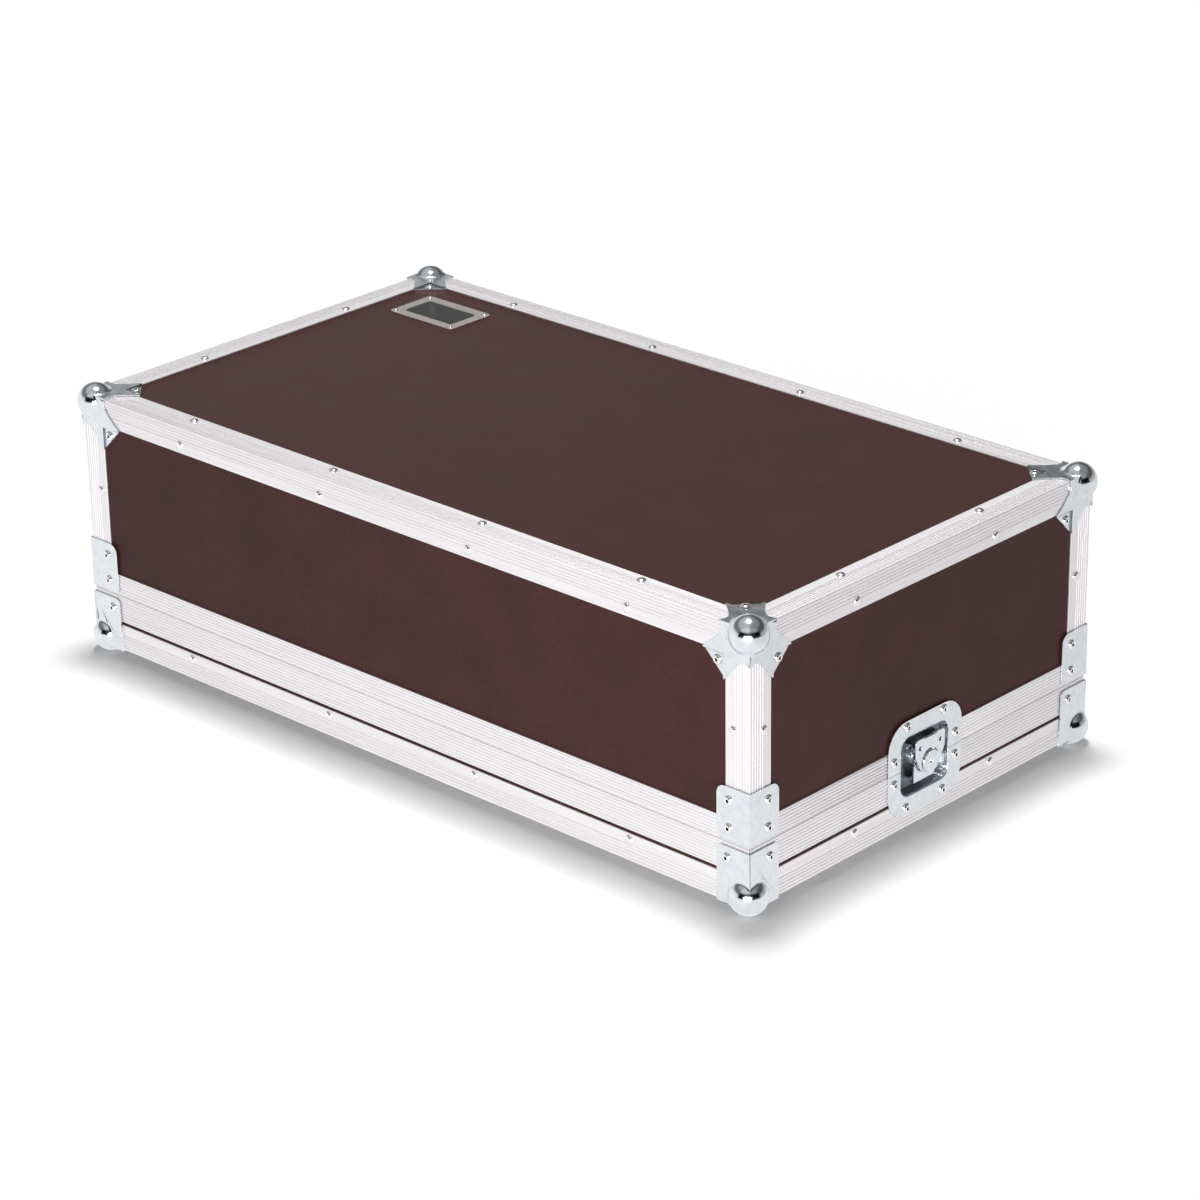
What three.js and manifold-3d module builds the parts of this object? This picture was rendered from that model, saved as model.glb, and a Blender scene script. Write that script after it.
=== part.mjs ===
// Flight case for guitar pedals: a shallow tray and a deep lift-off cover in plywood, framed with
// grooved aluminium edging, with ball corners, braces, a recessed twist latch on each short side
// and a recessed carrying handle on the back.
// Millimetres. X runs along the case, the front looks to -Y and +Z is up. The origin is the middle
// of the footprint, at the ground under the four lower balls.
import * as THREE from 'three';
import { mergeVertices } from 'three/addons/utils/BufferGeometryUtils.js';
import Module from 'manifold-3d';

const wasm = await Module();
wasm.setup();

// Outer size over the aluminium
const caseLength = 937;
const caseWidth = 517;
const caseHeight = 288;
const trayHeight = 63.6;

// Gaps and cutters
const fitGap = 0.3;
const overrun = 5;
const unitRun = 1;

// Facets of round forms
const arcFacets = 5;
const notchFacets = 10;
const rodFacets = 12;
const turnedFacets = 24;
const ballRings = 12;
const ballSegments = 18;

// Aluminium edging
const edgingWall = 1.5;
const edgingWidth = 30;
const trayLipWidth = 30;
const coverLipWidth = 25;
const grooveCount = 4;
const grooveWidth = 1.2;
const grooveDepth = 0.35;

// Tongue and channel of the closing edging, and its inner leg that clasps the panel
const tongueInset = 5.2;
const tongueWidth = 3;
const tongueHeight = 6;
const tongueClearance = 0.7;
const channelRoof = 1.8;
const trayLegHeight = 12;
const coverLegHeight = 22;

// Plywood panels
const panelThickness = 10;

// Soft linings
const carpetThickness = 4;
const foamThickness = 20;
const liningClearance = 0.4;

// Ball corners
const bracketWall = 1.2;
const ballRadius = 19.7;
const ballInset = 9.4;
const bracketReach = 36;
const bracketTip = 57;
const bracketTipSide = 30.5;
const bracketBowReach = 32.5;
const bracketBowSide = 13;
const bracketCrankGap = 0.4;
const trayBracketWidth = 40;
const trayBracketHeight = 59.4;
const bracketCornerRadius = 10;

// Cover braces over the lower ends of the upright edging
const braceWidth = 40;
const braceFoot = 3;
const braceHeight = 55.5;

// Latch dish: a pressed plate with a pocket, split along the parting line
const latchRise = 1.5;
const latchPlateWidth = 113;
const latchPlateHeight = 101;
const latchPlateRadius = 27;
const latchMouthWidth = 73;
const latchMouthHeight = 62.5;
const latchMouthRadius = 11;
const dishWall = 1;
const pocketTaper = 3;
const cutoutMargin = 4;
const dishBackGap = 0.2;

// Latch carrier, riveted in the upper half of the dish
const carrierWall = 1.4;
const carrierWidth = 50;
const carrierTop = 25;
const carrierBottom = 14.5;
const drumRadius = 12;
const drumLevel = 0.2;
const spindleRadius = 5;
const earWall = 1.6;
const earTop = 23;
const earBottom = 13;
const earHead = 4;
const earClearance = 1.5;
const trunnionOverhang = 0.8;

// Latch hook: a plate that swings on two trunnions at its top, narrows below them and ends in a lip
const hookWall = 1.6;
const hookWidth = 41;
const hookTipWidth = 32;
const hookTop = 22;
const hookShoulder = 8;
const hookBottom = 21.6;
const hookLevel = 0.2;
const hookLipReach = 4.8;
const hookPivotRise = 18;
const hookPivotDepth = 4;
const hookFlangeReach = 3.5;
const hookFlangeBottom = 10;
const hookCornerRadius = 2;
const trunnionRadius = 1.5;
const drumClearance = 1.5;

// Keeper: a shelf pressed out of the lower half of the dish
const keeperWidth = 32;
const keeperWall = 1.4;
const keeperShelf = 18;
const keeperReach = 5.8;

// Latch cam: a spindle, a skirt, and the boss that the wing's pin goes across
const camSkirtRadius = 12.5;
const camSkirtHeight = 1.5;
const camBossRadius = 12;
const camBossLevel = 9.8;
const camBossChamfer = 0.8;
const camDimpleRadius = 2.2;
const camDimpleDepth = 1.6;
const wingPinRadius = 1.25;
const wingPinOverhang = 1;
const wingPivotDrop = 4;
const wingPivotLevel = 3.7;

// Latch wing: the shield-shaped thumb plate, whose two legs stand astride the boss
const wingWall = 1.4;
const wingLift = 2.5;
const wingTop = 28;
const wingHalfTop = 22.5;
const wingShoulder = 9;
const wingCornerRadius = 4;
const wingNotchRadius = 13;
const wingNotchRise = 1;
const wingLugWall = 1.6;
const wingLugRadius = 2.2;
const wingHoleRadius = 2.2;
const wingHoleSpread = 15.4;
const wingHoleRise = 18;
const wingThumbWidth = 17;
const wingThumbDip = 2;
const wingGripRadius = 1.6;
const wingGripWidth = 18;
const runningClearance = 0.3;

// Recessed handle on the back
const handlePlateWidth = 172;
const handlePlateHeight = 104;
const handlePlateRadius = 14;
const handleMouthWidth = 134;
const handleMouthHeight = 76;
const handleMouthRadius = 16;
const handleFloorDepth = 12.8;
const handlePivotRise = 24;
const handleRodRadius = 4;
const handleRodDepth = 3.9;
const handleRodSides = 8;
const handleRodSteps = 34;
const handleArmSpread = 47;
const handleArmLength = 44;
const handleBendRadius = 9;
const handleEarWall = 3;
const handleEarRim = 2;
const handleEarGap = 1;
const handlePinOverhang = 1.5;
const gripRadius = 8;
const gripWidth = 72;
const gripGrooveDepth = 0.8;
const gripGrooveCount = 5;

// Levels and insets that follow from the sizes above
const standHeight = ballRadius - ballInset;
const panelInset = edgingWall + fitGap;
const wallInner = panelInset + panelThickness;
const legInset = wallInner + fitGap;
const lipDepth = legInset + edgingWall;
const liningInset = lipDepth + liningClearance;
const channelInset = tongueInset - tongueClearance;
const channelWidth = tongueWidth + tongueClearance + tongueClearance;
const channelDepth = tongueHeight + tongueClearance;
const coverWallFoot = trayHeight + channelDepth + channelRoof + fitGap;
const trayWallTop = trayHeight - edgingWall - fitGap;
const coverWallTop = caseHeight - panelInset - panelThickness - fitGap;
const trayWallFoot = panelInset + panelThickness + fitGap;
const bracketLevel = fitGap + bracketWall;
const tabLevel = fitGap - panelInset;
const bracketCrankInner = edgingWidth + bracketCrankGap;
const bracketCrank = bracketCrankInner + bracketWall;
const latchHeight = trayHeight + latchRise;
const latchFloorDepth = wallInner - dishBackGap - dishWall;
const latchCutoutHalf = latchMouthWidth / 2 + dishWall + cutoutMargin;
const carrierLevel = fitGap - latchFloorDepth;
const carrierTopLevel = carrierLevel + carrierWall;
const camSkirtLevel = drumLevel + fitGap;
const camBossFoot = camSkirtLevel + camSkirtHeight;
const wingLevel = wingPivotLevel + wingLift;
const wingLegHalf = wingNotchRadius + wingLugWall;
const wingLegFoot = -wingPivotDrop - wingLugRadius;
const earInset = hookWidth / 2 + earClearance;
const handleHeight = (trayHeight + coverLipWidth + caseHeight - edgingWidth) / 2;
const handleEarInset = handleArmSpread + handleBendRadius + handleEarGap;

// Finishes
const finishes = {
  plywood: { color: 0x45352f, roughness: 0.55, metalness: 0 },
  aluminium: { color: 0xdcdcdf, roughness: 0.38, metalness: 0.9 },
  zincSteel: { color: 0xcfd4d9, roughness: 0.3, metalness: 0.9 },
  foam: { color: 0x2a2a2c, roughness: 0.95, metalness: 0 },
  carpet: { color: 0x232325, roughness: 1, metalness: 0 },
};

// Solids from geometry and back
function solidOf(geometry) {
  const bare = geometry.clone();
  bare.deleteAttribute('normal');
  bare.deleteAttribute('uv');
  const merged = mergeVertices(bare);
  return new wasm.Manifold(new wasm.Mesh({
    numProp: 3,
    vertProperties: new Float32Array(merged.attributes.position.array),
    triVerts: new Uint32Array(merged.index.array),
  }));
}

function geometryOf(solid) {
  const mesh = solid.getMesh();
  const geometry = new THREE.BufferGeometry();
  geometry.setAttribute('position', new THREE.BufferAttribute(new Float32Array(mesh.vertProperties), 3));
  geometry.setIndex(new THREE.BufferAttribute(new Uint32Array(mesh.triVerts), 1));
  geometry.computeVertexNormals();
  return geometry;
}

function joined(first, ...others) {
  return geometryOf(others.reduce((sum, other) => sum.add(solidOf(other)), solidOf(first)));
}

function cutBy(first, ...cutters) {
  return geometryOf(cutters.reduce((rest, cutter) => rest.subtract(solidOf(cutter)), solidOf(first)));
}

function common(first, second) {
  return geometryOf(solidOf(first).intersect(solidOf(second)));
}

// Basic forms
function block(xFrom, xTo, yFrom, yTo, zFrom, zTo) {
  const geometry = new THREE.BoxGeometry(xTo - xFrom, yTo - yFrom, zTo - zFrom);
  return geometry.translate((xFrom + xTo) / 2, (yFrom + yTo) / 2, (zFrom + zTo) / 2);
}

function extruded(shape, depth, arcSegments = arcFacets) {
  return new THREE.ExtrudeGeometry(shape, { depth, bevelEnabled: false, curveSegments: arcSegments });
}

function turned(geometry, xAxis, yAxis, zAxis) {
  const basis = new THREE.Matrix4().makeBasis(
    new THREE.Vector3(...xAxis), new THREE.Vector3(...yAxis), new THREE.Vector3(...zAxis));
  return geometry.applyMatrix4(basis);
}

function outline(points) {
  return new THREE.Shape(points.map(([x, y]) => new THREE.Vector2(x, y)));
}

function roundedRectangle(width, height, radius) {
  const x = width / 2;
  const y = height / 2;
  const shape = new THREE.Shape();
  shape.moveTo(radius - x, -y);
  shape.lineTo(x - radius, -y);
  shape.absarc(x - radius, radius - y, radius, -Math.PI / 2, 0, false);
  shape.lineTo(x, y - radius);
  shape.absarc(x - radius, y - radius, radius, 0, Math.PI / 2, false);
  shape.lineTo(radius - x, y);
  shape.absarc(radius - x, y - radius, radius, Math.PI / 2, Math.PI, false);
  shape.lineTo(-x, radius - y);
  shape.absarc(radius - x, radius - y, radius, Math.PI, Math.PI * 1.5, false);
  return shape;
}

// The side frame: X along the side, Y into the case from the aluminium's face, Z up.
// A level is how far out of that face something lies.
function raised(shape, fromLevel, toLevel, arcSegments) {
  const geometry = extruded(shape, toLevel - fromLevel, arcSegments);
  turned(geometry, [1, 0, 0], [0, 0, 1], [0, -1, 0]);
  return geometry.translate(0, -fromLevel, 0);
}

function rod(radius, xFrom, xTo, level, height) {
  const geometry = new THREE.CylinderGeometry(radius, radius, xTo - xFrom, rodFacets);
  geometry.rotateZ(Math.PI / 2);
  return geometry.translate((xFrom + xTo) / 2, -level, height);
}

function stud(radius, fromLevel, toLevel, height, segments = turnedFacets) {
  const geometry = new THREE.CylinderGeometry(radius, radius, toLevel - fromLevel, segments);
  return geometry.translate(0, -(fromLevel + toLevel) / 2, height);
}

function slab(xFrom, xTo, fromLevel, toLevel, zFrom, zTo) {
  return block(xFrom, xTo, -toLevel, -fromLevel, zFrom, zTo);
}

// Edging profiles: u runs into the case and v up, each with shallow grooves on its outer faces
function groovedRun(length, place) {
  const points = [];
  for (let i = 1; i <= grooveCount; i += 1) {
    const middle = length * i / (grooveCount + 1);
    points.push(place(middle - grooveWidth / 2, 0));
    points.push(place(middle, grooveDepth));
    points.push(place(middle + grooveWidth / 2, 0));
  }
  return points;
}

function anglePoints(width) {
  return [
    [0, 0],
    ...groovedRun(width, (along, inward) => [along, inward]),
    [width, 0],
    [width, edgingWall],
    [edgingWall, edgingWall],
    [edgingWall, width],
    [0, width],
    ...groovedRun(width, (along, inward) => [inward, along]).reverse(),
  ];
}

function trayLipPoints() {
  const tongueMiddle = tongueInset + tongueWidth / 2;
  return [
    [0, -trayLipWidth],
    ...groovedRun(trayLipWidth, (along, inward) => [inward, along - trayLipWidth]),
    [0, 0],
    [tongueInset, 0],
    [tongueInset, tongueHeight - tongueWidth / 2],
    [tongueMiddle, tongueHeight],
    [tongueInset + tongueWidth, tongueHeight - tongueWidth / 2],
    [tongueInset + tongueWidth, 0],
    [lipDepth, 0],
    [lipDepth, -trayLegHeight],
    [legInset, -trayLegHeight],
    [legInset, -edgingWall],
    [edgingWall, -edgingWall],
    [edgingWall, -trayLipWidth],
  ];
}

function coverLipPoints() {
  const roof = channelDepth + channelRoof;
  return [
    [0, fitGap],
    ...groovedRun(coverLipWidth, (along, inward) => [inward, along]),
    [0, coverLipWidth],
    [edgingWall, coverLipWidth],
    [edgingWall, roof],
    [legInset, roof],
    [legInset, coverLegHeight],
    [lipDepth, coverLegHeight],
    [lipDepth, fitGap],
    [channelInset + channelWidth, fitGap],
    [channelInset + channelWidth, channelDepth],
    [channelInset, channelDepth],
    [channelInset, fitGap],
  ];
}

// A length of profile, whose two ends are given as functions of the way into the case
function profileRun(points, height, startAt, endAt) {
  const geometry = extruded(outline(points), unitRun);
  const position = geometry.attributes.position;
  for (let i = 0; i < position.count; i += 1) {
    const u = position.getX(i);
    const x = position.getZ(i) > 0 ? endAt(u) : startAt(u);
    position.setXYZ(i, x, u, position.getY(i) + height);
  }
  return geometry;
}

function mitred(points, halfLength, height) {
  const mitre = (u) => halfLength - u - fitGap;
  return profileRun(points, height, (u) => -mitre(u), mitre);
}

// Two lengths, mitred at the case's corners and sawn square at the latch dish between them
function sawnPair(points, halfLength, height) {
  const mitre = (u) => halfLength - u - fitGap;
  return [
    profileRun(points, height, (u) => -mitre(u), () => -latchCutoutHalf),
    profileRun(points, height, () => latchCutoutHalf, mitre),
  ];
}

// Panels of one side: between the edging, with openings cut by what passes through
function sidePanel(side, foot, top) {
  const inset = side.long ? panelInset : wallInner + fitGap;
  return block(inset - side.half, side.half - inset, panelInset, wallInner, foot, top);
}

function floorPanel(zFrom) {
  const x = caseLength / 2 - panelInset;
  const y = caseWidth / 2 - panelInset;
  return block(-x, x, -y, y, zFrom, zFrom + panelThickness);
}

function lining(zFrom, thickness) {
  const x = caseLength / 2 - liningInset;
  const y = caseWidth / 2 - liningInset;
  return block(-x, x, -y, y, zFrom, zFrom + thickness);
}

// Ball corner of the cover, at a corner whose inward ways are +X, +Y and -Z.
// One face of its bracket is drawn in the plane and then turned to the three faces: a plate on the
// edging with two bowed edges, and a tab that is cranked down to the panel between its two tips.
function coverBracketOutline() {
  const shape = new THREE.Shape();
  shape.moveTo(-bracketLevel, -bracketLevel);
  shape.lineTo(bracketReach, -bracketLevel);
  shape.quadraticCurveTo(bracketBowReach, bracketBowSide, bracketTip, bracketTipSide);
  shape.lineTo(bracketTip - bracketWall, bracketCrank);
  shape.lineTo(bracketCrank, bracketCrank);
  shape.lineTo(bracketCrank, bracketTip - bracketWall);
  shape.lineTo(bracketTipSide, bracketTip);
  shape.quadraticCurveTo(bracketBowSide, bracketBowReach, -bracketLevel, bracketReach);
  return shape;
}

function coverBracketFace() {
  const near = bracketCrankInner;
  const fold = bracketCrank;
  const far = bracketTip - bracketWall;
  const tabPoints = [[near, near], [far, near], [far, fold], [fold, far], [near, far]];
  const stepPoints = [[near, near], [far, near], [far, fold], [fold, fold], [fold, far], [near, far]];
  const plate = extruded(coverBracketOutline(), bracketWall).translate(0, 0, fitGap);
  const step = extruded(outline(stepPoints), bracketLevel - tabLevel).translate(0, 0, tabLevel);
  const tab = extruded(outline(tabPoints), bracketWall).translate(0, 0, tabLevel);
  return joined(plate, step, tab);
}

// The ball sits outside the aluminium: the case's own corner is cut out of it
function ballOutside(upward) {
  const sphere = new THREE.SphereGeometry(ballRadius, ballSegments, ballRings);
  sphere.rotateX(Math.PI / 2);
  sphere.translate(ballInset, ballInset, -upward * ballInset);
  const reach = ballRadius + ballInset + overrun;
  const zFrom = upward > 0 ? -reach : -fitGap;
  const zTo = upward > 0 ? fitGap : reach;
  return cutBy(sphere, block(-fitGap, reach, -fitGap, reach, zFrom, zTo));
}

function coverBallCorner() {
  const face = coverBracketFace();
  const front = turned(face.clone(), [0, 0, -1], [1, 0, 0], [0, -1, 0]);
  const side = turned(face.clone(), [0, 1, 0], [0, 0, -1], [-1, 0, 0]);
  return joined(face, front, side, ballOutside(1));
}

// Two plates at right angles round an upright corner whose inward ways are +X and +Y
function foldedPlate(shape) {
  const front = raised(shape, fitGap, bracketLevel);
  const side = turned(extruded(shape, bracketWall), [0, 1, 0], [0, 0, 1], [1, 0, 0]);
  return joined(front, side.translate(-bracketLevel, 0, 0));
}

function uprightPlate(width, foot, top, lowerRadius) {
  const shape = new THREE.Shape();
  shape.moveTo(-bracketLevel, foot);
  shape.lineTo(width - lowerRadius, foot);
  if (lowerRadius > 0) {
    shape.quadraticCurveTo(width, foot, width, foot + lowerRadius);
  }
  shape.lineTo(width, top - bracketCornerRadius);
  shape.quadraticCurveTo(width, top, width - bracketCornerRadius, top);
  shape.lineTo(-bracketLevel, top);
  return shape;
}

function coverBrace() {
  const foot = trayHeight + braceFoot;
  return foldedPlate(uprightPlate(braceWidth, foot, foot + braceHeight, bracketCornerRadius / 2));
}

// Ball corner of the tray, at a corner whose inward ways are +X, +Y and +Z
function trayBallCorner() {
  const walls = foldedPlate(uprightPlate(trayBracketWidth, -bracketLevel, trayBracketHeight, 0));
  const heel = trayBracketWidth - edgingWidth;
  const sole = outline([
    [-bracketLevel, -bracketLevel], [trayBracketWidth, -bracketLevel], [trayBracketWidth, heel],
    [heel, trayBracketWidth], [-bracketLevel, trayBracketWidth],
  ]);
  const underside = extruded(sole, bracketWall).translate(0, 0, -bracketLevel);
  return joined(walls, underside, ballOutside(-1));
}

function uprightEdging() {
  const foot = trayHeight + coverLipWidth + fitGap;
  const top = caseHeight - edgingWidth - fitGap;
  return extruded(outline(anglePoints(edgingWidth)), top - foot).translate(0, 0, foot);
}

// Pockets: straight through the plate, then tapered down to the floor
function pocketForm(width, height, radius, plateFoot, rimLevel, floorLevel) {
  const shape = roundedRectangle(width, height, radius);
  const taper = raised(shape, floorLevel, plateFoot);
  const position = taper.attributes.position;
  const middle = -(floorLevel + plateFoot) / 2;
  for (let i = 0; i < position.count; i += 1) {
    if (position.getY(i) > middle) {
      position.setX(i, position.getX(i) * (width - pocketTaper - pocketTaper) / width);
      position.setZ(i, position.getZ(i) * (height - pocketTaper - pocketTaper) / height);
    }
  }
  return joined(taper, raised(shape, plateFoot, rimLevel));
}

function pocketCutter(width, height, radius) {
  const margin = dishWall + cutoutMargin;
  const shape = roundedRectangle(width + margin + margin, height + margin + margin, radius + margin);
  return raised(shape, -wallInner - overrun, overrun);
}

function pressedDish(plateShape, plateFoot, width, height, radius, floorDepth) {
  const rimLevel = plateFoot + dishWall;
  const plate = raised(plateShape, plateFoot, rimLevel);
  const shell = pocketForm(width + dishWall + dishWall, height + dishWall + dishWall,
    radius + dishWall, plateFoot, rimLevel, -floorDepth - dishWall);
  const hollow = pocketForm(width, height, radius, plateFoot, overrun, -floorDepth);
  return cutBy(joined(plate, shell), hollow);
}

// Latch, drawn with its turning axis at the origin of the side frame
function latchDish() {
  const plateShape = roundedRectangle(latchPlateWidth, latchPlateHeight, latchPlateRadius);
  return pressedDish(plateShape, fitGap, latchMouthWidth, latchMouthHeight, latchMouthRadius,
    latchFloorDepth);
}

function latchHalf(zFrom, zTo) {
  const x = latchPlateWidth;
  return common(latchDish(), block(-x, x, -x, x, zFrom, zTo));
}

function latchCarrier() {
  const x = carrierWidth / 2;
  const plate = slab(-x, x, carrierLevel, carrierTopLevel, -carrierBottom, carrierTop);
  const seat = slab(-x, x, carrierLevel - fitGap - dishWall / 2, carrierTopLevel - carrierWall / 2,
    fitGap - latchRise, carrierTop);
  const drum = stud(drumRadius, carrierLevel, drumLevel, 0);
  const earLevel = earHead - hookPivotDepth;
  const ears = [-earInset - earWall, earInset].map(
    (left) => slab(left, left + earWall, carrierLevel, earLevel, earBottom, earTop));
  const bore = stud(spindleRadius + runningClearance, carrierTopLevel, overrun, 0);
  const pivotBore = rod(trunnionRadius + runningClearance, -carrierWidth, carrierWidth,
    -hookPivotDepth, hookPivotRise);
  return cutBy(joined(plate, seat, drum, ...ears), bore, pivotBore);
}

function upperLatchDish() {
  return joined(latchHalf(fitGap - latchRise, latchPlateHeight), latchCarrier());
}

function lowerLatchDish() {
  const x = keeperWidth / 2;
  const keeper = slab(-x, x, -latchFloorDepth - dishWall / 2, -keeperReach,
    -keeperShelf, keeperWall - keeperShelf);
  return joined(latchHalf(-latchPlateHeight, -latchRise), keeper);
}

function hookOutline() {
  const wide = hookWidth / 2;
  const narrow = hookTipWidth / 2;
  const corner = wide - hookCornerRadius;
  const shape = new THREE.Shape();
  shape.moveTo(narrow, -hookBottom);
  shape.lineTo(narrow, hookShoulder);
  shape.lineTo(wide, hookShoulder);
  shape.lineTo(wide, hookTop - hookCornerRadius);
  shape.quadraticCurveTo(wide, hookTop, corner, hookTop);
  shape.lineTo(-corner, hookTop);
  shape.quadraticCurveTo(-wide, hookTop, -wide, hookTop - hookCornerRadius);
  shape.lineTo(-wide, hookShoulder);
  shape.lineTo(-narrow, hookShoulder);
  shape.lineTo(-narrow, -hookBottom);
  return shape;
}

function latchHook() {
  const x = hookWidth / 2;
  const tip = hookTipWidth / 2;
  const inner = hookLevel - hookWall;
  const plate = raised(hookOutline(), inner, hookLevel);
  const lip = slab(-tip, tip, hookLevel - hookLipReach, hookLevel, -hookBottom, hookWall - hookBottom);
  const flanges = [-x, x - hookWall].map((left) => slab(left, left + hookWall,
    -hookPivotDepth - hookFlangeReach, hookLevel, hookFlangeBottom, hookTop - hookCornerRadius));
  const end = earInset + earWall + trunnionOverhang;
  const trunnions = [[-end, hookWall - x], [x - hookWall, end]].map(
    ([from, to]) => rod(trunnionRadius, from, to, -hookPivotDepth, hookPivotRise));
  const drumHole = stud(drumRadius + drumClearance, inner - overrun, overrun, 0);
  return cutBy(joined(plate, lip, ...flanges, ...trunnions), drumHole);
}

function latchCam() {
  const bossTop = camBossLevel - camBossChamfer;
  const spindleEnd = carrierTopLevel + fitGap;
  const profile = [
    [0, camBossLevel - camDimpleDepth],
    [camDimpleRadius, camBossLevel - camDimpleDepth],
    [camDimpleRadius, camBossLevel],
    [camBossRadius - camBossChamfer, camBossLevel],
    [camBossRadius, bossTop],
    [camBossRadius, camBossFoot],
    [camSkirtRadius, camBossFoot],
    [camSkirtRadius, camSkirtLevel],
    [spindleRadius, camSkirtLevel],
    [spindleRadius, spindleEnd],
    [0, spindleEnd],
  ].map(([radius, level]) => new THREE.Vector2(radius, -level));
  const body = new THREE.LatheGeometry(profile, turnedFacets);
  const pinEnd = wingLegHalf + wingPinOverhang;
  const pin = rod(wingPinRadius, -pinEnd, pinEnd, wingPivotLevel, -wingPivotDrop);
  return joined(body, pin);
}

// The wing's shield: a top that dips where the thumb lies, straight shoulders, and two legs with
// the round notch for the boss between them
function wingOutline() {
  const corner = wingHalfTop - wingCornerRadius;
  const thumb = wingThumbWidth / 2;
  const shape = new THREE.Shape();
  shape.moveTo(-corner, wingTop);
  shape.lineTo(-thumb, wingTop);
  shape.lineTo(-thumb, wingTop - wingThumbDip);
  shape.lineTo(thumb, wingTop - wingThumbDip);
  shape.lineTo(thumb, wingTop);
  shape.lineTo(corner, wingTop);
  shape.quadraticCurveTo(wingHalfTop, wingTop, wingHalfTop, wingTop - wingCornerRadius);
  shape.lineTo(wingHalfTop, wingShoulder);
  shape.lineTo(wingLegHalf, wingLegFoot);
  shape.lineTo(wingNotchRadius, wingLegFoot);
  shape.absarc(0, wingNotchRise, wingNotchRadius, 0, Math.PI, false);
  shape.lineTo(-wingNotchRadius, wingLegFoot);
  shape.lineTo(-wingLegHalf, wingLegFoot);
  shape.lineTo(-wingHalfTop, wingShoulder);
  shape.lineTo(-wingHalfTop, wingTop - wingCornerRadius);
  shape.quadraticCurveTo(-wingHalfTop, wingTop, -corner, wingTop);
  return shape;
}

function latchWing() {
  const plate = raised(wingOutline(), wingLevel, wingLevel + wingWall, notchFacets);
  const middle = wingLevel + wingWall / 2;
  const lugs = [-wingLegHalf, wingNotchRadius].flatMap((left) => [
    rod(wingLugRadius, left, left + wingLugWall, wingPivotLevel, -wingPivotDrop),
    slab(left, left + wingLugWall, wingPivotLevel, middle,
      wingLegFoot, wingLugRadius - wingPivotDrop),
  ]);
  const gripHalf = wingGripWidth / 2;
  const grip = rod(wingGripRadius, -gripHalf, gripHalf, middle, wingTop - wingGripRadius);
  const bore = rod(wingPinRadius + runningClearance, -latchPlateWidth, latchPlateWidth,
    wingPivotLevel, -wingPivotDrop);
  const sideHoles = [-wingHoleSpread, wingHoleSpread].map(
    (x) => stud(wingHoleRadius, 0, wingLevel + overrun, wingHoleRise, rodFacets).translate(x, 0, 0));
  return cutBy(joined(plate, ...lugs, grip), bore, ...sideHoles);
}

// Handle, drawn with the middle of its dish at the origin of the side frame
function handleDish() {
  const plateShape = roundedRectangle(handlePlateWidth, handlePlateHeight, handlePlateRadius);
  const dish = pressedDish(plateShape, tabLevel, handleMouthWidth, handleMouthHeight,
    handleMouthRadius, handleFloorDepth);
  const rim = handleRodRadius + runningClearance + handleEarRim;
  const ears = [-handleEarInset - handleEarWall, handleEarInset].map(
    (left) => slab(left, left + handleEarWall, -handleFloorDepth - dishWall / 2,
      rim - handleRodDepth, handlePivotRise - rim, handlePivotRise + rim));
  const bore = rod(handleRodRadius + runningClearance, -handlePlateWidth, handlePlateWidth,
    -handleRodDepth, handlePivotRise);
  const eyes = ears.map((ear) => cutBy(ear, bore));
  return joined(dish, ...eyes);
}

function bailPath() {
  const end = handleEarInset + handleEarWall + handlePinOverhang;
  const bend = handleBendRadius;
  const low = handlePivotRise - handleArmLength;
  const knee = (x, z, fromX, fromZ, toX, toZ) => new THREE.QuadraticBezierCurve3(
    new THREE.Vector3(x + fromX, handleRodDepth, z + fromZ), new THREE.Vector3(x, handleRodDepth, z),
    new THREE.Vector3(x + toX, handleRodDepth, z + toZ));
  const run = (fromX, fromZ, toX, toZ) => new THREE.LineCurve3(
    new THREE.Vector3(fromX, handleRodDepth, fromZ), new THREE.Vector3(toX, handleRodDepth, toZ));
  const arm = handleArmSpread;
  const high = handlePivotRise;
  const path = new THREE.CurvePath();
  path.add(run(-end, high, -arm - bend, high));
  path.add(knee(-arm, high, -bend, 0, 0, -bend));
  path.add(run(-arm, high - bend, -arm, low + bend));
  path.add(knee(-arm, low, 0, bend, bend, 0));
  path.add(run(bend - arm, low, arm - bend, low));
  path.add(knee(arm, low, -bend, 0, 0, bend));
  path.add(run(arm, low + bend, arm, high - bend));
  path.add(knee(arm, high, 0, -bend, bend, 0));
  path.add(run(arm + bend, high, end, high));
  return path;
}

function bailRod() {
  const section = [];
  for (let i = 0; i < handleRodSides; i += 1) {
    const angle = 2 * Math.PI * i / handleRodSides;
    section.push([handleRodRadius * Math.cos(angle), handleRodRadius * Math.sin(angle)]);
  }
  return new THREE.ExtrudeGeometry(outline(section), {
    steps: handleRodSteps, bevelEnabled: false, extrudePath: bailPath(),
  });
}

// The rod with the grip that is moulded on it
function handleBail() {
  const half = gripWidth / 2;
  const pitch = gripWidth / (gripGrooveCount + 1);
  const profile = [[0, -half], [gripRadius, -half]];
  for (let i = 1; i <= gripGrooveCount; i += 1) {
    const middle = i * pitch - half;
    profile.push([gripRadius, middle - gripGrooveDepth]);
    profile.push([gripRadius - gripGrooveDepth, middle]);
    profile.push([gripRadius, middle + gripGrooveDepth]);
  }
  profile.push([gripRadius, half], [0, half]);
  const points = profile.map(([radius, along]) => new THREE.Vector2(radius, along));
  const grip = new THREE.LatheGeometry(points, rodFacets).rotateZ(-Math.PI / 2);
  grip.translate(0, handleRodDepth, handlePivotRise - handleArmLength);
  return joined(bailRod(), grip);
}

// Assembly
const whole = new THREE.Group();
whole.position.z = standHeight;

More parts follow.
